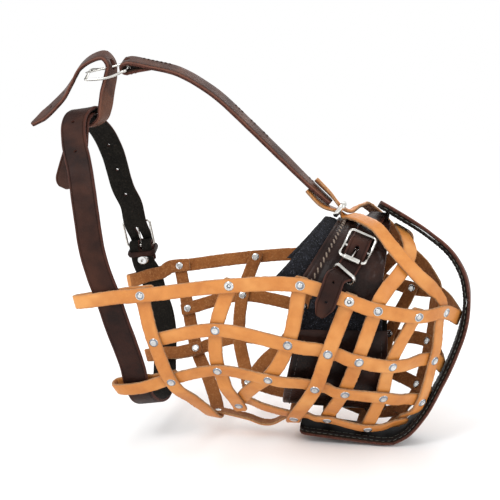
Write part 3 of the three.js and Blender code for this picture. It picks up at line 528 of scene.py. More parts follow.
def section(width, thick, crease):
    """Half-open outline across a strap, (column in mm, height, material): grain, edge, flesh, edge."""
    radius = 0.44 * thick
    half = width / 2
    corner = [spoke(a, radius, half - radius, thick / 2 - radius) for a in CORNER_TURNS]
    inner = []
    if crease:
        inner = [(half - 1.7, thick / 2), (half - 2.05, thick / 2 - crease), (half - 2.4, thick / 2)]
    inner += [(half * 0.5, thick / 2), (half * 0.18, thick / 2 + 0.04)]
    right_top = corner + inner
    left_top = [(-x, h) for x, h in reversed(right_top)]
    top = right_top + left_top
    bottom = [(-x, -h) for x, h in [*corner[1:], (half * 0.5, thick / 2)]]
    bottom += [(-x, h) for x, h in reversed(bottom)]
    outline = top + bottom
    slots = []
    for i, (x, h) in enumerate(outline):
        nx, nh = outline[(i + 1) % len(outline)]
        flat = abs(h + nh) / 2 > thick / 2 - 0.42 * radius and abs(x + nx) / 2 < half - 0.1 * radius
        slots.append((0 if h + nh > 0 else 1) if flat else 2)
    return np.array(outline), slots


def strap(run, size, materials, name, crease=0.0, flip=False, uneven=0.12, ends=1.6, ragged=0.0):
    """One leather strap as a Build and its Strip. flip puts the grain side on the inner face."""
    if flip:
        run = [Station(s.p, -s.side, -s.sag, s.taper, s.turned) for s in run]
    strip = Strip(run, size)
    outline, slots = section(*size, crease)
    turned = [1 - slot if slot < 2 else slot for slot in slots]
    seed = sum(ord(c) for c in name) % 17
    rough = np.random.default_rng(seed)
    half = size[0] / 2
    at_edge = np.abs(outline[:, 0]) > half - 0.3 * size[1]
    total = strip.s[-1]
    rings, uvs = [], []
    for i in range(len(run)):
        s = strip.s[i]
        to_end = min(s, total - s)
        round_end = 1 - END_PULL * (1 - rounded(to_end / ends))
        wide = strip.taper[i] * round_end * (1 + wobble(s, seed, WIDTH_WOBBLE))
        lift = wobble(s, seed + 5, uneven)
        column = outline[:, 0] / half
        height = outline[:, 1] + lift - strip.sag[i] * column ** 2
        notch = rough.normal(0, ragged, (2, len(outline))) * at_edge
        column = column + notch[0] / half
        height = height + notch[1]
        rings.append(strip.p[i] + strip.side[i] * (column * half * wide)[:, None]
                     + strip.normal[i] * height[:, None])
        uvs.append(np.stack([np.full(len(outline), s / 100), column / 2 + 0.5], axis=1))
    build = Build(*materials).rings(rings, [turned if s.turned else slots for s in run], uv=np.array(uvs))
    return build, strip


def stitches(build, strip, column, height, slot, start=0, end=None, pitch=4.2, length=2.9, radius=0.32, slant=0.0):
    """A row of arched thread stitches along a strip."""
    end = strip.s[-1] if end is None else end
    s = start
    while s + length < end:
        points = [strip.at(s + length * t, column + slant * (t - 0.5),
                           height + radius * (0.9 * math.sin(math.pi * t) - 0.5)) for t in (0, 0.15, 0.5, 0.85, 1)]
        build.rings(tube_rings(points, [radius * f for f in (0.55, 0.9, 1, 0.9, 0.55)], 6), slot=slot)
        s += pitch


def tube_rings(points, radii, sides=TUBE_SIDES, closed=False, up=None):
    """Rings of round wire along a path, with a radius for each point."""
    count = len(points)
    rings, a = [], None
    for i, p in enumerate(points):
        before = points[(i - 1) % count if closed else max(0, i - 1)]
        after = points[(i + 1) % count if closed else min(count - 1, i + 1)]
        t = (after - before).normalized()
        if up is not None:
            a = up
        elif a is None:
            a = V(0, 0, 1) if abs(t.z) < 0.9 else V(0, 1, 0)
        a = (a - t * a.dot(t)).normalized()
        b = t.cross(a)
        rings.append([p + a * x + b * y for x, y in circle(radii[i], sides)])
    return rings


# ---- The basket's surface: a smooth net through the rivets, mirrored across the front and the keel
NET = [
    [(-12, -68, 40), (-4, -62, 3), (6, -48, -30), (21, -30, -53), (33, 0, -71)],
    [(55, -72, 49), (44, -68, 15), (43, -54, -19), (55, -25, -53), (58, 0, -75)],
    [(107, -74, 51), (98, -70, 6), (82, -56, -24), (76, -27, -58), (76, 0, -78)],
    [(142, -73, 40), (127, -69, 0), (117, -56, -30), (99, -28, -62), (97, 0, -71)],
    [(162, -69, 33), (149, -65, -6), (139, -52, -34), (125, -28, -62), (125, 0, -73)],
    [(191, -56, 27), (173, -52, -12), (167, -42, -39), (156, -22, -70), (152, 0, -76)],
    [(211, -38, 27), (204, -30, -12), (196, -22, -47), (184, -12, -67), (172, 0, -77)],
    [(225, 0, 15), (213, 0, -24), (203, 0, -47), (192, 0, -66), (180, 0, -76)],
]
HOOP_AT = [0, 52, 100, 133, 157, 183, 208, 236]
BAND_AT = [0, 42, 75, 118, 148]
FRONT, KEEL = len(NET) - 1, len(BAND_AT) - 1


def net_point(i, j):
    if i > FRONT:
        return mirror(net_point(2 * FRONT - i, j))
    if j > KEEL:
        return mirror(net_point(i, 2 * KEEL - j))
    if i < 0:
        return net_point(0, j) * 2 - net_point(1, j)
    if j < 0:
        return net_point(i, 0) * 2 - net_point(i, 1)
    return Vector(NET[i][j])


def knot(values, i):
    last = len(values) - 1
    if i > last:
        return 2 * values[last] - knot(values, 2 * last - i)
    if i < 0:
        return 2 * values[0] - values[-i]
    return values[i]


def along_1d(values, t, point_at):
    i = 0
    while t > knot(values, i + 1) and i < 2 * len(values) - 3:
        i += 1
    k0, k1, k2, k3 = (knot(values, i + d) for d in (-1, 0, 1, 2))
    p0, p1, p2, p3 = (point_at(i + d) for d in (-1, 0, 1, 2))
    m1 = (p2 - p0) * ((k2 - k1) / (k2 - k0))
    m2 = (p3 - p1) * ((k2 - k1) / (k3 - k1))
    s = (t - k1) / (k2 - k1)
    return (p1 * (2 * s ** 3 - 3 * s ** 2 + 1) + m1 * (s ** 3 - 2 * s ** 2 + s)
            + p2 * (3 * s ** 2 - 2 * s ** 3) + m2 * (s ** 3 - s ** 2))


def basket(u, v):
    return along_1d(BAND_AT, v, lambda j: along_1d(HOOP_AT, u, lambda i: net_point(i, j)))


def hoop_u(h):
    return knot(HOOP_AT, h - 1)


def far_u(u):
    return 2 * HOOP_AT[FRONT] - u


def on_basket(route):
    return surface_run(basket, route, BASKET[0])


def crossing(h, row, off, du=0.0, dv=0.0):
    """A route's point where a hoop crosses a band, or a little beside it."""
    return hoop_u(h) + du, BAND_AT[row] + dv, off


# ---- Cuff surfaces
def nose_cuff(u, v):
    s, turn = u / ARCH, v / ARCH
    foot = V(100 + 65 * s, 65 - 8 * s, 44 - 11 * s)
    top = V(130 + 42 * s, 0, 91 - 3 * s)
    lift = math.sin(turn)
    return V(foot.x + (top.x - foot.x) * lift, foot.y * math.cos(turn), foot.z + (top.z - foot.z) * lift)


def jaw_cuff(u, v):
    s, turn = u / ARCH, v / ARCH
    edge = V(104 + 66 * s, 61 - 14 * s, 15 - 2 * s)
    floor = V(88 + 82 * s, 0, -56 - 4 * s)
    drop = math.sin(turn)
    return V(edge.x + (floor.x - edge.x) * drop, -edge.y * math.cos(turn), edge.z + (floor.z - edge.z) * drop)


def shell(build, surface, u_range, v_range, offset, thick, columns, rows=90, across=26, puff=None, fuzz=0.0, back=1):
    """A closed sheet with rounded rims on a surface. puff(u, v) adds to its outer height."""
    u0, u1 = u_range
    radius = thick / 2
    length = u1 - u0
    outline = [(u0 + length * (0.5 - 0.5 * math.cos(math.pi * i / across)), 1) for i in range(across + 1)]
    outline += [(u, -1) for u, _ in outline[::-1]]
    rings, uvs = [], []
    for r in range(rows + 1):
        v = v_range[0] + (v_range[1] - v_range[0]) * r / rows
        to_end = min(r, rows - r) / rows * abs(v_range[1] - v_range[0])
        end_round = rounded(to_end / radius)
        ring, uv = [], []
        for u, face in outline:
            rim = rounded(min(u - u0, u1 - u) / radius)
            half = radius * max(0.05, rim) * max(0.05, end_round)
            p, _, _, n = surface_frame(surface, u, v)
            extra = puff(u, v) * rim * (1 if face > 0 else back) if puff else 0
            q = p + n * (offset + face * half + extra)
            if fuzz:
                q += n * noise.noise(q * 0.42) * fuzz + noise.noise_vector(q * 1.1) * fuzz * 0.5
            ring.append(q)
            uv.append((v / 100, (u - u0) / length))
        rings.append(ring)
        uvs.append(uv)
    return build.rings(rings, [columns(outline)] * len(rings), uv=np.array(uvs))


# ---- Runs of the basket
def band_route(row, listed):
    right = [crossing(h, row, off) for h, off in listed]
    left = [(far_u(u), v, off) for u, v, off in reversed(right)]
    return [*right, (HOOP_AT[FRONT], BAND_AT[row], 0), *left]


def looped_band(row, listed, inner_end, points, left_points):
    _, _, dv, _ = surface_frame(basket, 0, BAND_AT[row])
    side = -dv.normalized()

    def at(u, offset):
        p, _, _, n = surface_frame(basket, u, BAND_AT[row])
        return p + n * offset
    inner = [at(7, inner_end), at(-7, inner_end)]
    outer = at(-7, listed[0][1])
    right = free_run([*inner, *P(points), outer], side)
    left = free_run([mirror(outer), *reversed(P(left_points)), *map(mirror, reversed(inner))], mirror(side))
    for station in [*right[:int(len(right) * 0.54)], *left[int(len(left) * 0.46):]]:
        station.turned = True
    return [*right, *on_basket(band_route(row, listed)), *left]


RIM_LOOP = [(-27, -63.9, 38.2), (-38, -63.6, 36.5), (-54, -64.5, 34), (-61, -67, 33), (-62, -70.5, 33),
            (-55, -72.5, 34), (-38, -71.4, 36.5), (-27, -71.7, 38.2)]
RIM_LOOP_LEFT = [(-27, 63.6, 34.6), (-38, 63.4, 32), (-52, 63.8, 27), (-58, 66.5, 25.5), (-59, 69.8, 25.5),
                 (-53, 72, 27), (-38, 71.4, 32), (-27, 71.9, 34.6)]
THIRD_LOOP = [(-9, -43.6, -32.2), (-19, -43, -32.9), (-31, -43.4, -34.9), (-37.5, -47, -36.6),
              (-37.5, -52, -38.2), (-31, -54.3, -38), (-19, -52.9, -36.8), (-11, -51.4, -34.9)]
HOOP_TOP = 5


def hoop_route(h, offsets):
    right = [crossing(h, 0, offsets[0], dv=-HOOP_TOP), *(crossing(h, row, off) for row, off in enumerate(offsets))]
    return [*right, *((u, 2 * BAND_AT[KEEL] - v, off) for u, v, off in reversed(right[:-1]))]


RUNS = {
    "rim_band": looped_band(0, [(1, LAYER), *((h, OVER) for h in range(2, 8))], -LAYER, RIM_LOOP, RIM_LOOP_LEFT),
    "second_band": on_basket([
        crossing(1, 1, UNDER, -6),
        *band_route(1, [(1, UNDER), (2, OVER), (3, OVER), (4, UNDER), (5, OVER), (6, OVER), (7, UNDER)]),
        (far_u(hoop_u(1) - 6), BAND_AT[1], UNDER)]),
    "third_band": looped_band(
        2, [(1, 0), (2, OVER), (3, OVER), (4, UNDER), (5, OVER), (6, OVER), (7, UNDER)],
        -LAYER, THIRD_LOOP, [(x, -y, z) for x, y, z in THIRD_LOOP]),
    "hoop_1": on_basket(hoop_route(1, [0, OVER, LAYER, 0, OVER])),
    "hoop_4": on_basket(hoop_route(4, [UNDER, OVER, OVER, OVER, OVER])),
    "hoop_6": on_basket(hoop_route(6, [UNDER, UNDER, UNDER, UNDER, 0])),
}
for h, low_end in ((2, [crossing(2, 3, LAYER, dv=-16), crossing(2, 3, LAYER, dv=6)]),
                   (3, [crossing(2, 3, 0, 16, -12), crossing(2, 3, 0, -5, 2)])):
    half_hoop = on_basket([crossing(h, 0, UNDER, dv=-HOOP_TOP), *(crossing(h, row, UNDER) for row in range(3)),
                           *low_end])
    RUNS[f"hoop_{h}_right"], RUNS[f"hoop_{h}_left"] = half_hoop, mirror_run(half_hoop)

# Hoop 5 runs on over the nose as the cross strap
cross_right = P([(169.5, -60.3, 48), (177.5, -54.5, 57), (182.5, -47, 65), (185, -37, 73), (183, -26, 79.5),
                 (180, -13, 83.5)])
hoop_5_right = on_basket([crossing(5, KEEL, 0, dv=-2.5), *(crossing(5, row, UNDER) for row in (3, 2, 1)),
                          crossing(5, 0, UNDER - 0.4), crossing(5, 0, UNDER - 1.3, dv=-7)])
rise_side = hoop_5_right[-1].side
cross_points = [*cross_right, V(178.5, 0, 85), *map(mirror, reversed(cross_right))]
cross_sides = []
for i, p in enumerate(cross_points):
    share = smooth(1 - abs(i - len(cross_right)) / len(cross_right))
    cross_sides.append((rise_side if p.y < 0 else mirror(rise_side)).lerp(V(-0.87, 0, 0.5), share))
RUNS["hoop_5"] = [*hoop_5_right, *free_run(cross_points, cross_sides), *mirror_back(hoop_5_right)]

# The long straps: hoop 7 runs on over the cross strap to the slide on top of the nose
nose_run = P([(205.5, -41.6, 41.5), (198.5, -48.2, 48.6), (190.5, -53.2, 56.5), (181.5, -52.5, 66),
              (171.5, -48.4, 77), (160.4, -40, 89.4), (149.2, -25.2, 96.2), (143.5, -13, 97.2),
              (136.6, -0.5, 95.8)])
hoop_7 = on_basket([crossing(7, 3, -LAYER, dv=7), crossing(7, 3, -LAYER), crossing(7, 2, OVER), crossing(7, 1, OVER),
                    crossing(7, 0, UNDER - 0.2, dv=3), crossing(7, 0, UNDER - 1.4, dv=-7)])
TAIL_SIDES = [hoop_7[-1].side, *P([
    (-0.8, -0.5, -0.3), (-0.7, -0.5, -0.45), (-0.55, -0.55, -0.6), (-0.45, -0.65, -0.6), (-0.4, -0.8, -0.45),
    (-0.3, -0.9, -0.25), (-0.15, -0.97, -0.1), (0, -1, 0), (0, -1, 0), (0, -1, -0.25), (0, -1, -0.4)])]
SLIDE_AT = V(131.3, 0, 98.8)
FOLD = LAYER / 2 + 0.5


def long_strap(sign, free):
    up = V(0.62, 0, 0.78) * sign * FOLD
    spread = V(0.62, 0, 0.78) * sign * (FOLD + 3.2)
    shares = [0] * (len(free) - 3) + [1.2, 1.6, 1.15]
    path = [p + up * share for p, share in zip(free, shares)]
    path += [SLIDE_AT + up, V(121, 0, 106) + spread, V(109, 0, 118) + spread]
    return [*hoop_7, *free_run(path, TAIL_SIDES)]


left_run = [p + V(0, -0.45, 0.89) * 2.2 if 3 < i < 7 else p for i, p in enumerate(nose_run)]
RUNS["long_strap_right"] = long_strap(-1, nose_run)
RUNS["long_strap_left"] = mirror_run(long_strap(1, left_run))

lower_right = on_basket([
    crossing(2, 3, -LAYER, -6), crossing(2, 3, -LAYER), crossing(4, 3, UNDER), crossing(5, 3, OVER),
    crossing(6, 3, OVER), crossing(7, 3, 0, -1, 2), crossing(7, KEEL, UNDER, 8, -4)])
RUNS["lower_band"] = [*lower_right, *mirror_back(lower_right)]
RUNS["keel_strap"] = on_basket([
    crossing(1, KEEL, UNDER - 0.3, -6), crossing(1, KEEL, UNDER - 0.3), crossing(3, KEEL, 0),
    crossing(4, KEEL, UNDER), crossing(4, KEEL, UNDER, 7)])

# ---- Where rivets clamp the straps: (point, axis, layers, kind)
RIVETS = []


def rivet_at(h, row, layers, kind="domed", both=True, shift=0.0):
    p, _, _, n = surface_frame(basket, hoop_u(h), BAND_AT[row])
    p = p + n * shift
    RIVETS.append((p, n, layers, kind))
    if both:
        RIVETS.append((mirror(p), mirror(n), layers, kind))


for hoop in range(1, 8):
    rivet_at(hoop, 0, 3 if hoop == 1 else 2, "tubular" if hoop in (2, 4) else "ringed")
RIM_RIVETS = len(RIVETS)
for hoop in range(1, 8):
    rivet_at(hoop, 1, 2)
    rivet_at(hoop, 2, 3 if hoop == 1 else 2)
for hoop, layers in ((2, 3), (4, 2), (5, 2), (6, 2)):
    rivet_at(hoop, 3, layers)
rivet_at(1, 4, 2, both=False, shift=-0.2)
rivet_at(4, 4, 2, both=False)
rivet_at(5, 4, 1, both=False, shift=-0.4)


def pinch(verts, depth=0.2, spread=4.2, reach=12):
    """Leather is pressed together round each rivet."""
    for p, n, layers, _ in RIVETS:
        d = verts - np.array(p)
        height = d @ np.array(n)
        flat = np.linalg.norm(d - np.outer(height, n), axis=1)
        near = (flat < reach) & (np.abs(height) < LAYER * layers)
        press = depth * np.exp(-(flat / spread) ** 2) * near
        verts = verts - np.outer(height * press, n)
    return verts


def fit_strap(build, name, slot, cutters=(), warp=None):
    """Makes a strap's piece, punches it and puts it in place of its CAD node."""
    settle(cut(build.make(name + "_leather", warp=warp), cutters), "muzzle", slot, name)


for name, run in RUNS.items():
    fit_strap(strap(run, BASKET, TAN, name, ragged=0.1)[0], name, "tan_leather", warp=pinch)

CAPS = {
    "domed": [(0, 0.85), (0.6, 0.9), (1.0, 1.15), (1.6, 1.32), (2.3, 1.25), (2.9, 0.98), (3.4, 0.6), (3.68, 0.15),
              (3.7, -0.2)],
    "ringed": [(0, 1.25), (0.8, 1.2), (1.6, 0.95), (1.95, 0.5), (2.35, 0.55), (2.9, 0.85), (3.4, 0.7), (3.75, 0.1),
               (3.75, -0.2)],
    "tubular": [(0, 0.1), (0.85, 0.1), (1.15, 0.7), (1.7, 1.15), (2.7, 1.1), (3.4, 0.75), (3.85, 0.1), (3.85, -0.2)],
}
GROOVES = {"domed": (3, 4), "ringed": (2, 3), "tubular": (0, 1)}  # steps of each cap painted darker, as painted shade and dark reflection in its rim, groove or hollow
WASHER = [(3.1, 0.1), (3.1, -0.4), (2.6, -0.75), (1.4, -0.8), (1.1, -0.5), (0, -0.5)]
SHANK, PRESSED = 1.4, 0.81  # radius, and share of their thickness that the clamped layers keep


def rivet_set(name, spots, *nodes):
    # the second material paints shade and dark reflection on each cap's grooved steps
    build = Build(STEEL, SHADED_NICKEL)
    for p, n, layers, kind in spots:
        half = (layers * LAYER - GAP) / 2 * PRESSED
        cap = [(r, h + half) for r, h in CAPS[kind]]
        washer = [(r, h - half) for r, h in WASHER]
        build.lathe([*cap, (SHANK, half - 0.2), (SHANK, 0.1 - half), *washer], p, n, RIVET_SIDES, GROOVES[kind])
    settle(build.make(name), "muzzle", "nickel", *nodes)


rivet_set("rim_rivets", RIVETS[:RIM_RIVETS],
          *(f"rim_rivet_{h}_{side}" for h in range(1, 8) for side in ("right", "left")))
rivet_set("cage_rivets", RIVETS[RIM_RIVETS:])

# ---- Bumper plate
BUMPER_LINE = P([(162, 0, 103.5), (180, 0, 93), (199, 0, 81), (217, 0, 66), (227, 0, 50), (231, 0, 33),
                 (230, 0, 13), (223, 0, -13), (213, 0, -37), (200, 0, -62), (187, 0, -77), (176, 0, -82.6)])
BUMPER_FOOT = P([(168, 0, -83.3), (102, 0, -77.3)])
BUMPER, BUMPER_END = 38, 9
# the plate is twisted a little along its length, so that it shows only its edge from the front right
BUMPER_TWIST = P([(0, 1, -0.11), (0, 1, -0.11), (0.03, 1, -0.11), (0.06, 1, -0.11), (0.08, 1, -0.1), (0.09, 1, 0),
                  (0.09, 1, 0), (0.09, 1, -0.07), (0.07, 1, -0.12), (0.05, 1, -0.11), (0.02, 1, -0.05), (0, 1, 0)])


def bumper_run(offset):
    stations = [*free_run(BUMPER_LINE, BUMPER_TWIST), *free_run(BUMPER_FOOT, V(0, 1, 0))]
    strip = Strip(stations, (BUMPER, 1))
    run = []
    for p, n, side, s in zip(strip.p, strip.normal, strip.side, strip.s):
        to_end = min(s, strip.s[-1] - s)
        taper = 1 - 0.3 * (1 - rounded(to_end / BUMPER_END))
        run.append(Station(Vector(p) + Vector(n) * offset, Vector(side), 0.0, taper))
    return run


outer, _ = strap(bumper_run(1.2), (BUMPER, 3), BROWN, "bumper_outer", crease=0.25, uneven=0.1, ends=4)
fit_strap(outer, "bumper_outer", "brown_leather")
lining, strip = strap(bumper_run(-1.75), (BUMPER - 0.6, 2.3), (*BLACK, GREY_THREAD), "bumper_lining", uneven=0.1,
                      ends=4)
for column in (-0.86, 0.86):
    stitches(lining, strip, column, -1.1, 3, start=3, pitch=5.2, length=3.6, radius=0.38)
    stitches(lining, strip, column * 1.16, 0.6, 3, start=4, pitch=4.6, length=2.8, radius=0.26)
fit_strap(lining, "bumper_lining", "black_leather")

# ---- Cuffs
CUFF, HEM = 2.6, 4  # thickness of a cuff's leather and width of its stitched hem


def two_faced(outline):
    """The first material on a cuff's outer face, the second on the rest of it."""
    return [0 if a[1] > 0 and b[1] > 0 else 1 for a, b in zip(outline, outline[1:] + outline[:1])]


def one_faced(outline):
    return [0] * len(outline)


def cuff_relief(u, v):
    q = V(u * 0.035, v * 0.03, 1.7)
    return 0.7 * noise.noise(q) + 0.35 * noise.noise(q * 3.1)


def nose_relief(u, v):
    """A flat stitched hem at the back, then the padded part, wrinkled along its front edge."""
    padded = 1.3 * smooth(clamp((u - 11.5) / 3.5)) - 0.5 * math.exp(-((u - 3.4) / 0.8) ** 2)
    front = smooth(clamp((u - 40) / 12))
    wrinkle = noise.noise(V(u * 0.16, v * 0.11, 7.3)) + 0.5 * noise.noise(V(u * 0.4, v * 0.3, 2.1))
    return padded + cuff_relief(u, v) + 1.1 * front * wrinkle


def roll_puff(u, v):
    """The felt swells where it comes out from under the leather."""
    bare = clamp((2 - u) / 10)
    return 2.6 * smooth(bare) + 0.5 * noise.noise(V(u * 0.1, v * 0.09, 4.2))


def hem(surface, u, inset):
    """The strip that a row of stitches follows, from one foot of a cuff to the other."""
    return Strip(surface_run(surface, [(u, inset, 0), (u, HALF_TURN - inset, 0)], HEM, 3), (HEM, CUFF))


nose_leather = shell(Build(CUFF_GRAIN, DARK_FLESH, PALE_THREAD), nose_cuff, (0, 58), (0, HALF_TURN), 0, CUFF,
                     two_faced, rows=150, across=52, puff=nose_relief)
stitches(nose_leather, hem(nose_cuff, 8.4, 8), 0, 1.4, 2, start=2, pitch=4.6, length=3.4, radius=0.72, slant=1.1)
settle(nose_leather.make("nose_cuff_leather_cover"), "muzzle", "dark_leather", "nose_cuff_leather")
nose_felt = shell(Build(FELT), nose_cuff, (-17, 56), (4, HALF_TURN - 4), -5.2, 6.4, one_faced,
                  rows=150, across=44, puff=roll_puff, fuzz=0.5, back=-0.2).make("nose_cuff_pad", 60)
settle(nose_felt, "muzzle", "felt", "nose_cuff_felt")
jaw_leather = shell(Build(CUFF_GRAIN, DARK_FLESH, BROWN_THREAD), jaw_cuff, (0, 60), (0, HALF_TURN), 0, CUFF,
                    two_faced, puff=cuff_relief)
for u in (4, 56):
    stitches(jaw_leather, hem(jaw_cuff, u, 6), 0, 1.5, 2, pitch=4.6, length=3.2, radius=0.36)
settle(jaw_leather.make("jaw_cuff_leather_cover"), "muzzle", "dark_leather", "jaw_cuff_leather")
jaw_felt = shell(Build(FELT), jaw_cuff, (2, 57), (-13, HALF_TURN + 13), -4, 3.2, one_faced,
                 rows=110, across=30, fuzz=0.35).make("jaw_cuff_pad", 60)
settle(jaw_felt, "muzzle", "felt", "jaw_cuff_felt")


# ---- Fittings
CURL = WIRE + 0.3 + PRONG  # radius of a prong's curl round its bar
METAL_CREASE, LEATHER_CREASE = 50, 38  # degrees over which an edge is shown sharp


class Fitting:
    """A local frame: x along the strap, y along the bars, z outward."""

    def __init__(self, origin, along, bar_hint):
        self.origin = origin
        self.x = along.normalized()
        self.y = (bar_hint - self.x * bar_hint.dot(self.x)).normalized()
        self.z = self.x.cross(self.y)

    def at(self, a, b, c):
        return self.origin + self.x * a + self.y * b + self.z * c

    def box(self, x0, x1, z0, z1, width=SLOT, material=DARK_EDGE):
        """A round-ended punch through a strap."""
        half = width / 2
        outline = [*arc(half, -90, 90, x1 - half, step=30), *arc(half, 90, 270, x0 + half, step=30)]
        return Build(material).rings([[self.at(x, y, z) for x, y in outline] for z in (z0, z1)])


def fold(frame_at, radius, z, start, end):
    """Points round a bar."""
    return [frame_at.at(x, 0, h) for x, h in arc(radius, start, end, 0, z)]


def frame_path(frame_at, x0, x1, half, z, dish=0.0, corner=2.5):
    """Rounded rectangle of wire; dish lowers the middle of its side runs."""
    points = []
    corners = [(x1 - corner, half - corner), (x0 + corner, half - corner),
               (x0 + corner, corner - half), (x1 - corner, corner - half)]
    for k, (cx, cy) in enumerate(corners):
        next_x, next_y = corners[(k + 1) % 4]
        out_x, out_y = spoke(90 * k + 90, corner)
        points += [frame_at.at(x, y, z) for x, y in arc(corner, 90 * k, 90 * k + 90, cx, cy)]
        for t in (n / 10 for n in range(1, 10)):
            drop = dish * math.sin(math.pi * t) if k % 2 == 0 else 0
            points.append(frame_at.at(cx + (next_x - cx) * t + out_x, cy + (next_y - cy) * t + out_y, z - drop))
    return points


def prong_path(frame_at, z_bar, tip_x, tip_z):
    """A prong's wire, from its curl round the bar to its tip."""
    points = fold(frame_at, CURL, z_bar, 300, 90)
    for t in (0.15, 0.35, 0.55, 0.7, 0.85, 0.92, 1):
        points.append(frame_at.at(tip_x * t, 0, z_bar + CURL + (tip_z - z_bar - CURL) * t ** 1.5))
    return points


def wire(name, body, node, points, radius, up, closed=True, extra=None):
    """A piece of bent wire. One that isn't closed is thinned at its ends."""
    radii = [radius] * len(points)
    if not closed:
        radii[:2], radii[-2:] = [radius * 0.6, radius * 0.92], [radius * 0.9, radius * 0.55]
    build = Build(NICKEL).rings(tube_rings(points, radii, closed=closed, up=up))
    if extra:
        extra(build)
    settle(build.make(name, METAL_CREASE), body, "nickel", node)


def buckle(name, frame_at, path, prong, extra=None):
    """A buckle's frame and prong, each on a body of its own."""
    wire(f"{name}_buckle_wire", f"{name}_frame", f"{name}_buckle_frame", path, WIRE, frame_at.z, extra=extra)
    wire(f"{name}_buckle_tongue", f"{name}_prong", f"{name}_buckle_prong", prong, PRONG, frame_at.y, closed=False)


def loop_rings(frame_at, half_width, half_height, thick, depth, z, bulge=0.3):
    """Flat-section loop round a strap, with rounded corners and a slightly crowned band."""
    band = ((-0.5, 0.12), (-0.42, 0), (0.42, 0), (0.5, 0.12), (0.5, 0.85), (0.38, 1), (0, 1 + bulge), (-0.38, 1),
            (-0.5, 0.85))
    corner = min(2.5, half_height)
    rings = []
    for sy, sz, start in ((1, 1, 0), (-1, 1, 90), (-1, -1, 180), (1, -1, 270)):
        for out_y, out_z in arc(1, start, start + 90):
            y = sy * (half_width - corner) + corner * out_y
            h = sz * (half_height - corner) + corner * out_z + z
            rings.append([frame_at.at(x * depth, y + out_y * thick * out, h + out_z * thick * out)
                          for x, out in band])
    return rings


def closed_loop(name, node, rings, material=NICKEL, slot="nickel", crease=METAL_CREASE):
    """A loop that rides on the body named like its CAD node."""
    settle(Build(material).rings(rings, loop=True).make(name, crease), node, slot, node)


def narrow_end(run, size, tip, length, shape=clamp):
    """Narrows a run's free end to a share of its width. Gives the distances along the run."""
    at = Strip(run, size).s
    for station, s in zip(run, at):
        station.taper = tip + (1 - tip) * shape((at[-1] - s) / length)
    return at


# ---- Neck straps and their buckle
neck_buckle = Fitting(V(-47, 68.3, 58), V(-0.12, -0.285, 0.95), V(1, 0, 0.13))
NECK_FOLD = WIRE + GAP + NECK[1] / 2
neck_right = P([(-38, -67.5, 36.5), (-32, -65.5, 16), (-27, -62, -1), (-23, -55.5, -20), (-22, -48.5, -35.3),
                (-20, -37.5, -49), (-18, -19, -57.3)])
neck_left = [*map(mirror, reversed(neck_right[2:])), V(-33.5, 66.2, 15), V(-38.5, 67.3, 31.5)]
neck_crown = P([(-69, 9, 173.5), (-74, 0, 176), (-76.5, -11, 173), (-76.5, -21, 165.5), (-73, -32, 152),
                (-63, -50, 131), (-56, -60, 101), (-50, -66, 72), (-44, -68.2, 53)])
neck_points = [*neck_crown, *neck_right, V(-17, 0, -60), *neck_left, neck_buckle.at(-17, 0, -NECK_FOLD - 0.2),
               *fold(neck_buckle, NECK_FOLD, 0, -90, 90), neck_buckle.at(-17, 0, NECK_FOLD)]
NECK_SIDE = V(1, 0, 0.14)


def punch(strip, s, size=1.35):
    """A round hole through a strap at distance s."""
    low, high = strip.at(s, 0, -6), strip.at(s, 0, 6)
    axis = (high - low).normalized()
    a = axis.orthogonal().normalized()
    b = axis.cross(a)
    return Build(DARK_EDGE).rings([[c + a * x + b * y for x, y in circle(size, TUBE_SIDES)] for c in (low, high)])


def distance_at(strip, axis, value, low=0, high=None):
    """Distance along a strip where a coordinate comes nearest to a value, between two distances."""
    inside = (strip.s >= low) & (strip.s <= (strip.s[-1] if high is None else high))
    k = np.argmin(np.where(inside, np.abs(strip.p[:, axis] - value), np.inf))
    return float(strip.s[k])


neck, strip = strap(free_run(neck_points, NECK_SIDE), NECK, DARK, "neck_strap", crease=0.32)
holes = [punch(strip, distance_at(strip, 2, z, 20, 120)) for z in (166, 143)]
fit_strap(neck, "neck_strap", "dark_leather", [neck_buckle.box(-3.6, 7, -8, 8), *holes])
NECK_CAP = 1.4  # how much larger than a basket rivet
half = NECK_FOLD + NECK[1] / 2 - 0.35
neck_rivet = Build(STEEL).lathe(
    [*((r * NECK_CAP, h + half) for r, h in CAPS["domed"]), (SHANK, half - 0.2), (SHANK, 0.2 - half),
     (3.1, 0.1 - half), (3.1, -0.5 - half), (0, -0.7 - half)], neck_buckle.at(-13, 0, 0), -neck_buckle.z, RIVET_SIDES)
settle(neck_rivet.make("neck_chape_rivet_head"), "muzzle", "nickel", "neck_chape_rivet")

NECK_FRAME = 23
TONGUE_TOP = NECK_FOLD + NECK[1] + GAP
far_points = [neck_buckle.at(-8.6, 0, TONGUE_TOP), neck_buckle.at(2.5, 0, TONGUE_TOP + 0.1),
              neck_buckle.at(NECK_FRAME, 0, -NECK_FOLD), neck_buckle.at(40, 0, -3),
              *P([(-57, 48, 110), (-62, 35, 141), (-67.5, 22, 159.5), (-73.5, 9, 168.5), (-75, -2, 171),
                  (-76.5, -11, 166.5), (-75.5, -18, 156), (-74.5, -25, 144.5), (-78, -30, 127.5), (-79.5, -32.5, 119.5),
                  (-80, -34, 115)])]
far_run = free_run(far_points, NECK_SIDE)
narrow_end(far_run, NECK, 0.1, 10, rounded)
far, strip = strap(far_run, NECK, DARK, "far_neck_strap", crease=0.3)
fit_strap(far, "far_neck_strap", "dark_leather",
          [neck_buckle.box(2.5, 18.5, -8, 12), *(punch(strip, 62 + 24 * k) for k in range(4))])

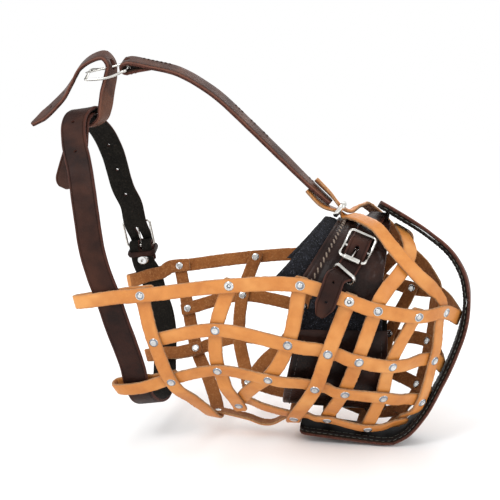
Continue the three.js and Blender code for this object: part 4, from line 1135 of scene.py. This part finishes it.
buckle("neck", neck_buckle, frame_path(neck_buckle, 0, NECK_FRAME, 12, 0),
       prong_path(neck_buckle, 0, NECK_FRAME + 1, CURL))
keeper_at = Fitting(neck_buckle.at(-5.9, 0, 0), neck_buckle.x, neck_buckle.y)
closed_loop("neck_keeper_leather", "neck_keeper",
            loop_rings(keeper_at, NECK[0] / 2 + 0.6, (TONGUE_TOP + NECK_FOLD + NECK[1]) / 2 + 1.3, 1.8, 4.4,
                       (TONGUE_TOP - NECK_FOLD) / 2), DARK_GRAIN, "dark_leather", LEATHER_CREASE)

# ---- Forehead strap, crown tab and their buckle
ROLL = V(0, 0.91, 0.41)
crown_buckle = Fitting(V(-38, 0, 210.5), V(-33, 0, -7), -ROLL)
CROWN_FRAME = 33.7
head_fold = WIRE + GAP + 0.3 + FOREHEAD[1] / 2
head_points = [*P([(124, 0, 103.7), (109, 0, 117), (84, 0, 141), (60, 0, 164), (32, 0, 189), (4, 0, 205.5),
                   (-20, 0, 211.5)]), crown_buckle.at(-3, 0, head_fold), *fold(crown_buckle, head_fold, 0, 90, -90),
               crown_buckle.at(-9, 0, -head_fold), crown_buckle.at(-20, 0, -head_fold - 0.6)]
head_sides = [V(0, 1, 0).lerp(ROLL, min(1, 0.3 + i / 3)) for i in range(len(head_points))]
forehead, strip = strap(free_run(head_points, head_sides), FOREHEAD, (*BROWN, BROWN_THREAD), "forehead_strap",
                        crease=0.25, flip=True)
for column in (-0.74, 0.74):
    stitches(forehead, strip, column, FOREHEAD[1] / 2 + 0.05, 3, start=14, end=distance_at(strip, 0, -30, high=230),
             pitch=3.4, length=2.3, radius=0.3)
fit_strap(forehead, "forehead_strap", "brown_leather", [crown_buckle.box(-3.6, 7, -7, 7, material=BROWN_EDGE)])

tab_points = P([(-84, 0, 163.2), (-75, 0, 163.4), (-67, 0, 164.2), (-59.7, 0, 169.5), (-57, 0, 179), (-55, 0, 190),
                (-52, 0, 203), (-51.5, 0, 212), (-57, 0, 218.8), (-67, 0, 216.5), (-76.5, 0, 209.3), (-83, 0, 199),
                (-91, 0, 187.5), (-104, 0, 175), (-112, 0, 169), (-118.5, 0, 164.5)])
tab_sides = P([(0, 1, 0), (0, 1, 0), (0, 1, 0), (0.25, 1, 0), (0.55, 1, 0), (0.6, 1, 0.1), (0.45, 1, 0.2),
               (0.2, 1, 0.4), (0, 0.88, 0.47), (0, 0.88, 0.47), (0, 0.9, 0.44), (0, 0.84, 0.54), (0, 0.75, 0.66),
               (0, 0.72, 0.69), (0, 0.75, 0.66), (0, 0.8, 0.6)])
tab_run = free_run(tab_points, tab_sides)
tab_at = narrow_end(tab_run, TAB, 0.3, 12)
tab, strip = strap(tab_run, TAB, BROWN, "crown_tab", crease=0.2, flip=True)
tongue_hole = Fitting(V(-52, 0, 210), V(0, 0, 1), V(0, 1, 0)).box(-2.4, 6, -7, 7, 4.4, BROWN_EDGE)
fit_strap(tab, "crown_tab", "brown_leather", [tongue_hole, *(punch(strip, tab_at[-1] - d, 1.3) for d in (22, 38))])
buckle("crown", crown_buckle, frame_path(crown_buckle, 0, CROWN_FRAME, 11.5, 0, 2),
       prong_path(crown_buckle, 0, CROWN_FRAME + 1, CURL))

# ---- Noseband
NOSE_U, NOSE_V = 31.6, 146.8
spot, spot_du, spot_dv, _ = surface_frame(nose_cuff, NOSE_U, NOSE_V)
nose_buckle = Fitting(spot, spot_dv - spot_du * 0.12, spot_du)
BAR_LOW, BAR_HIGH, NOSE_FRAME = 4.9, 8.5, 12.5
over_nose = surface_run(nose_cuff, [
    (46, 50, 3.2), (46, 66, 5.8), (46, 79, 7), (42, 95, 4.4), (38.5, 112, 3.6), (34, 133, 5.4), (32, 146, 9.5),
    (30.2, 158.5, 5.4), (28, 168, 6.3)], NOSEBAND[0], STEP, 1)
for station in over_nose:
    station.sag = 0.0
tip_points = P([(132, -75, 56.5), (129.5, -79.3, 50), (126, -79.9, 40), (122.5, -79.2, 32), (121, -79, 29)])
tip_run = free_run([over_nose[-1].p, *tip_points], [over_nose[-1].side, *[V(0.93, 0.05, -0.36)] * len(tip_points)])
nose_run_all = [*over_nose, *tip_run[1:]]
nose_at = narrow_end(nose_run_all, NOSEBAND, 0.42, 9)
noseband, nose_strip = strap(nose_run_all, NOSEBAND, DARK, "noseband_strap", crease=0.3, ends=0.8)
fit_strap(noseband, "noseband_strap", "dark_leather",
          [nose_buckle.box(-0.3, 12.3, 0, 15), *(punch(nose_strip, nose_at[-1] - d, 1.1) for d in (27, 12))])

nose_fold = WIRE + GAP + CHAPE[1] / 2
chape_points = [nose_buckle.at(9, 0, BAR_LOW - nose_fold - 0.6), nose_buckle.at(3, 0, BAR_LOW - nose_fold),
                *fold(nose_buckle, nose_fold, BAR_LOW, 270, 90), nose_buckle.at(4.5, 0, 5.6),
                nose_buckle.at(8.5, 0, 3.4)]
chape, _ = strap(free_run(chape_points, nose_buckle.y, 1.5), CHAPE, DARK, "noseband_chape", uneven=0.03)
fit_strap(chape, "noseband_chape", "dark_leather", [nose_buckle.box(-5, 7, BAR_LOW - 3.6, 10)])


def centre_bar(build):
    ends = [nose_buckle.at(0, y, BAR_LOW) for y in (-9.9, -5, 0, 5, 9.9)]
    build.rings(tube_rings(ends, [WIRE * 0.95] * len(ends)))


buckle("noseband", nose_buckle,
       frame_path(nose_buckle, -NOSE_FRAME, NOSE_FRAME, 10, BAR_HIGH, BAR_HIGH - BAR_LOW),
       prong_path(nose_buckle, BAR_LOW, NOSE_FRAME + 0.6, BAR_HIGH + 2 + 0.8 + PRONG), centre_bar)
ROLLER = ((1.4, -6), (1.7, -6.1), (1.95, -5.8), (2, -5), (2, 5), (1.95, 5.8), (1.7, 6.1), (1.4, 6))  # (radius, y)
closed_loop("noseband_roller_tube", "noseband_roller",
            [[nose_buckle.at(NOSE_FRAME + r * x, y, BAR_HIGH + r * z) for r, y in ROLLER] for x, z in circle(1, 24)])

# the metal keeper sits where the strap leaves the cuff
keep_s = nose_at[len(over_nose) - 1]
keep_dir = nose_strip.at(keep_s + 5, 0, 0) - nose_strip.at(keep_s - 5, 0, 0)
nose_keeper = Fitting(over_nose[-1].p, keep_dir, over_nose[-1].side)
closed_loop("noseband_keeper_loop", "noseband_keeper",
            loop_rings(nose_keeper, NOSEBAND[0] / 2 + 1, NOSEBAND[1] / 2 + 2, 1.1, 3, 0))

# ---- Slide that gathers the two long straps
slide_at = Fitting(SLIDE_AT, V(-0.78, 0, 0.62), V(0, 1, 0))
closed_loop("nose_slide_ring", "nose_slide",
            loop_rings(slide_at, BASKET[0] / 2 + 2.4, FOLD + BASKET[1] / 2 + 1.6, 1.4, 4, 0, 0.5))

# ---- Stage, lights and world
floor_mesh = bpy.data.meshes.new("floor")
FLOOR_REACH, FLOOR_DROP, FLOOR_SIDES = 9.0, 0.001, 64
ring = [(x, y, CAD_BOX[0][2] - FLOOR_DROP) for x, y in circle(FLOOR_REACH, FLOOR_SIDES)]
floor_mesh.from_pydata(ring, [], [list(range(FLOOR_SIDES))])
floor = bpy.data.objects.new("floor", floor_mesh)
bpy.context.scene.collection.objects.link(floor)
pale = Tree("pale_floor")
floor_mesh.materials.append(pale.finish((1, 1, 1, 1), 1.0, Specular_IOR_Level=0.0))


def soft_light(name, place, size, power):
    data = bpy.data.lights.new(name, "AREA")
    data.shape, data.size, data.energy = "DISK", size, power
    lamp = bpy.data.objects.new(name, data)
    lamp.location = place
    lamp.rotation_euler = (Vector(place) - LOOK).to_track_quat("Z", "Y").to_euler()
    bpy.context.scene.collection.objects.link(lamp)


soft_light("key", (-0.5, -1.2, 1.4), 0.7, 12)
soft_light("fill", (1.4, -1.0, 0.7), 0.9, 4)
soft_light("rim", (0.3, 1.5, 1.1), 0.8, 5)
world = bpy.data.worlds.new("studio")
world.use_nodes = True
world.node_tree.nodes["Background"].inputs["Color"].default_value = (1, 1, 1, 1)
world.node_tree.nodes["Background"].inputs["Strength"].default_value = 1.0
bpy.context.scene.world = world
bpy.context.scene.view_settings.view_transform = "Standard"
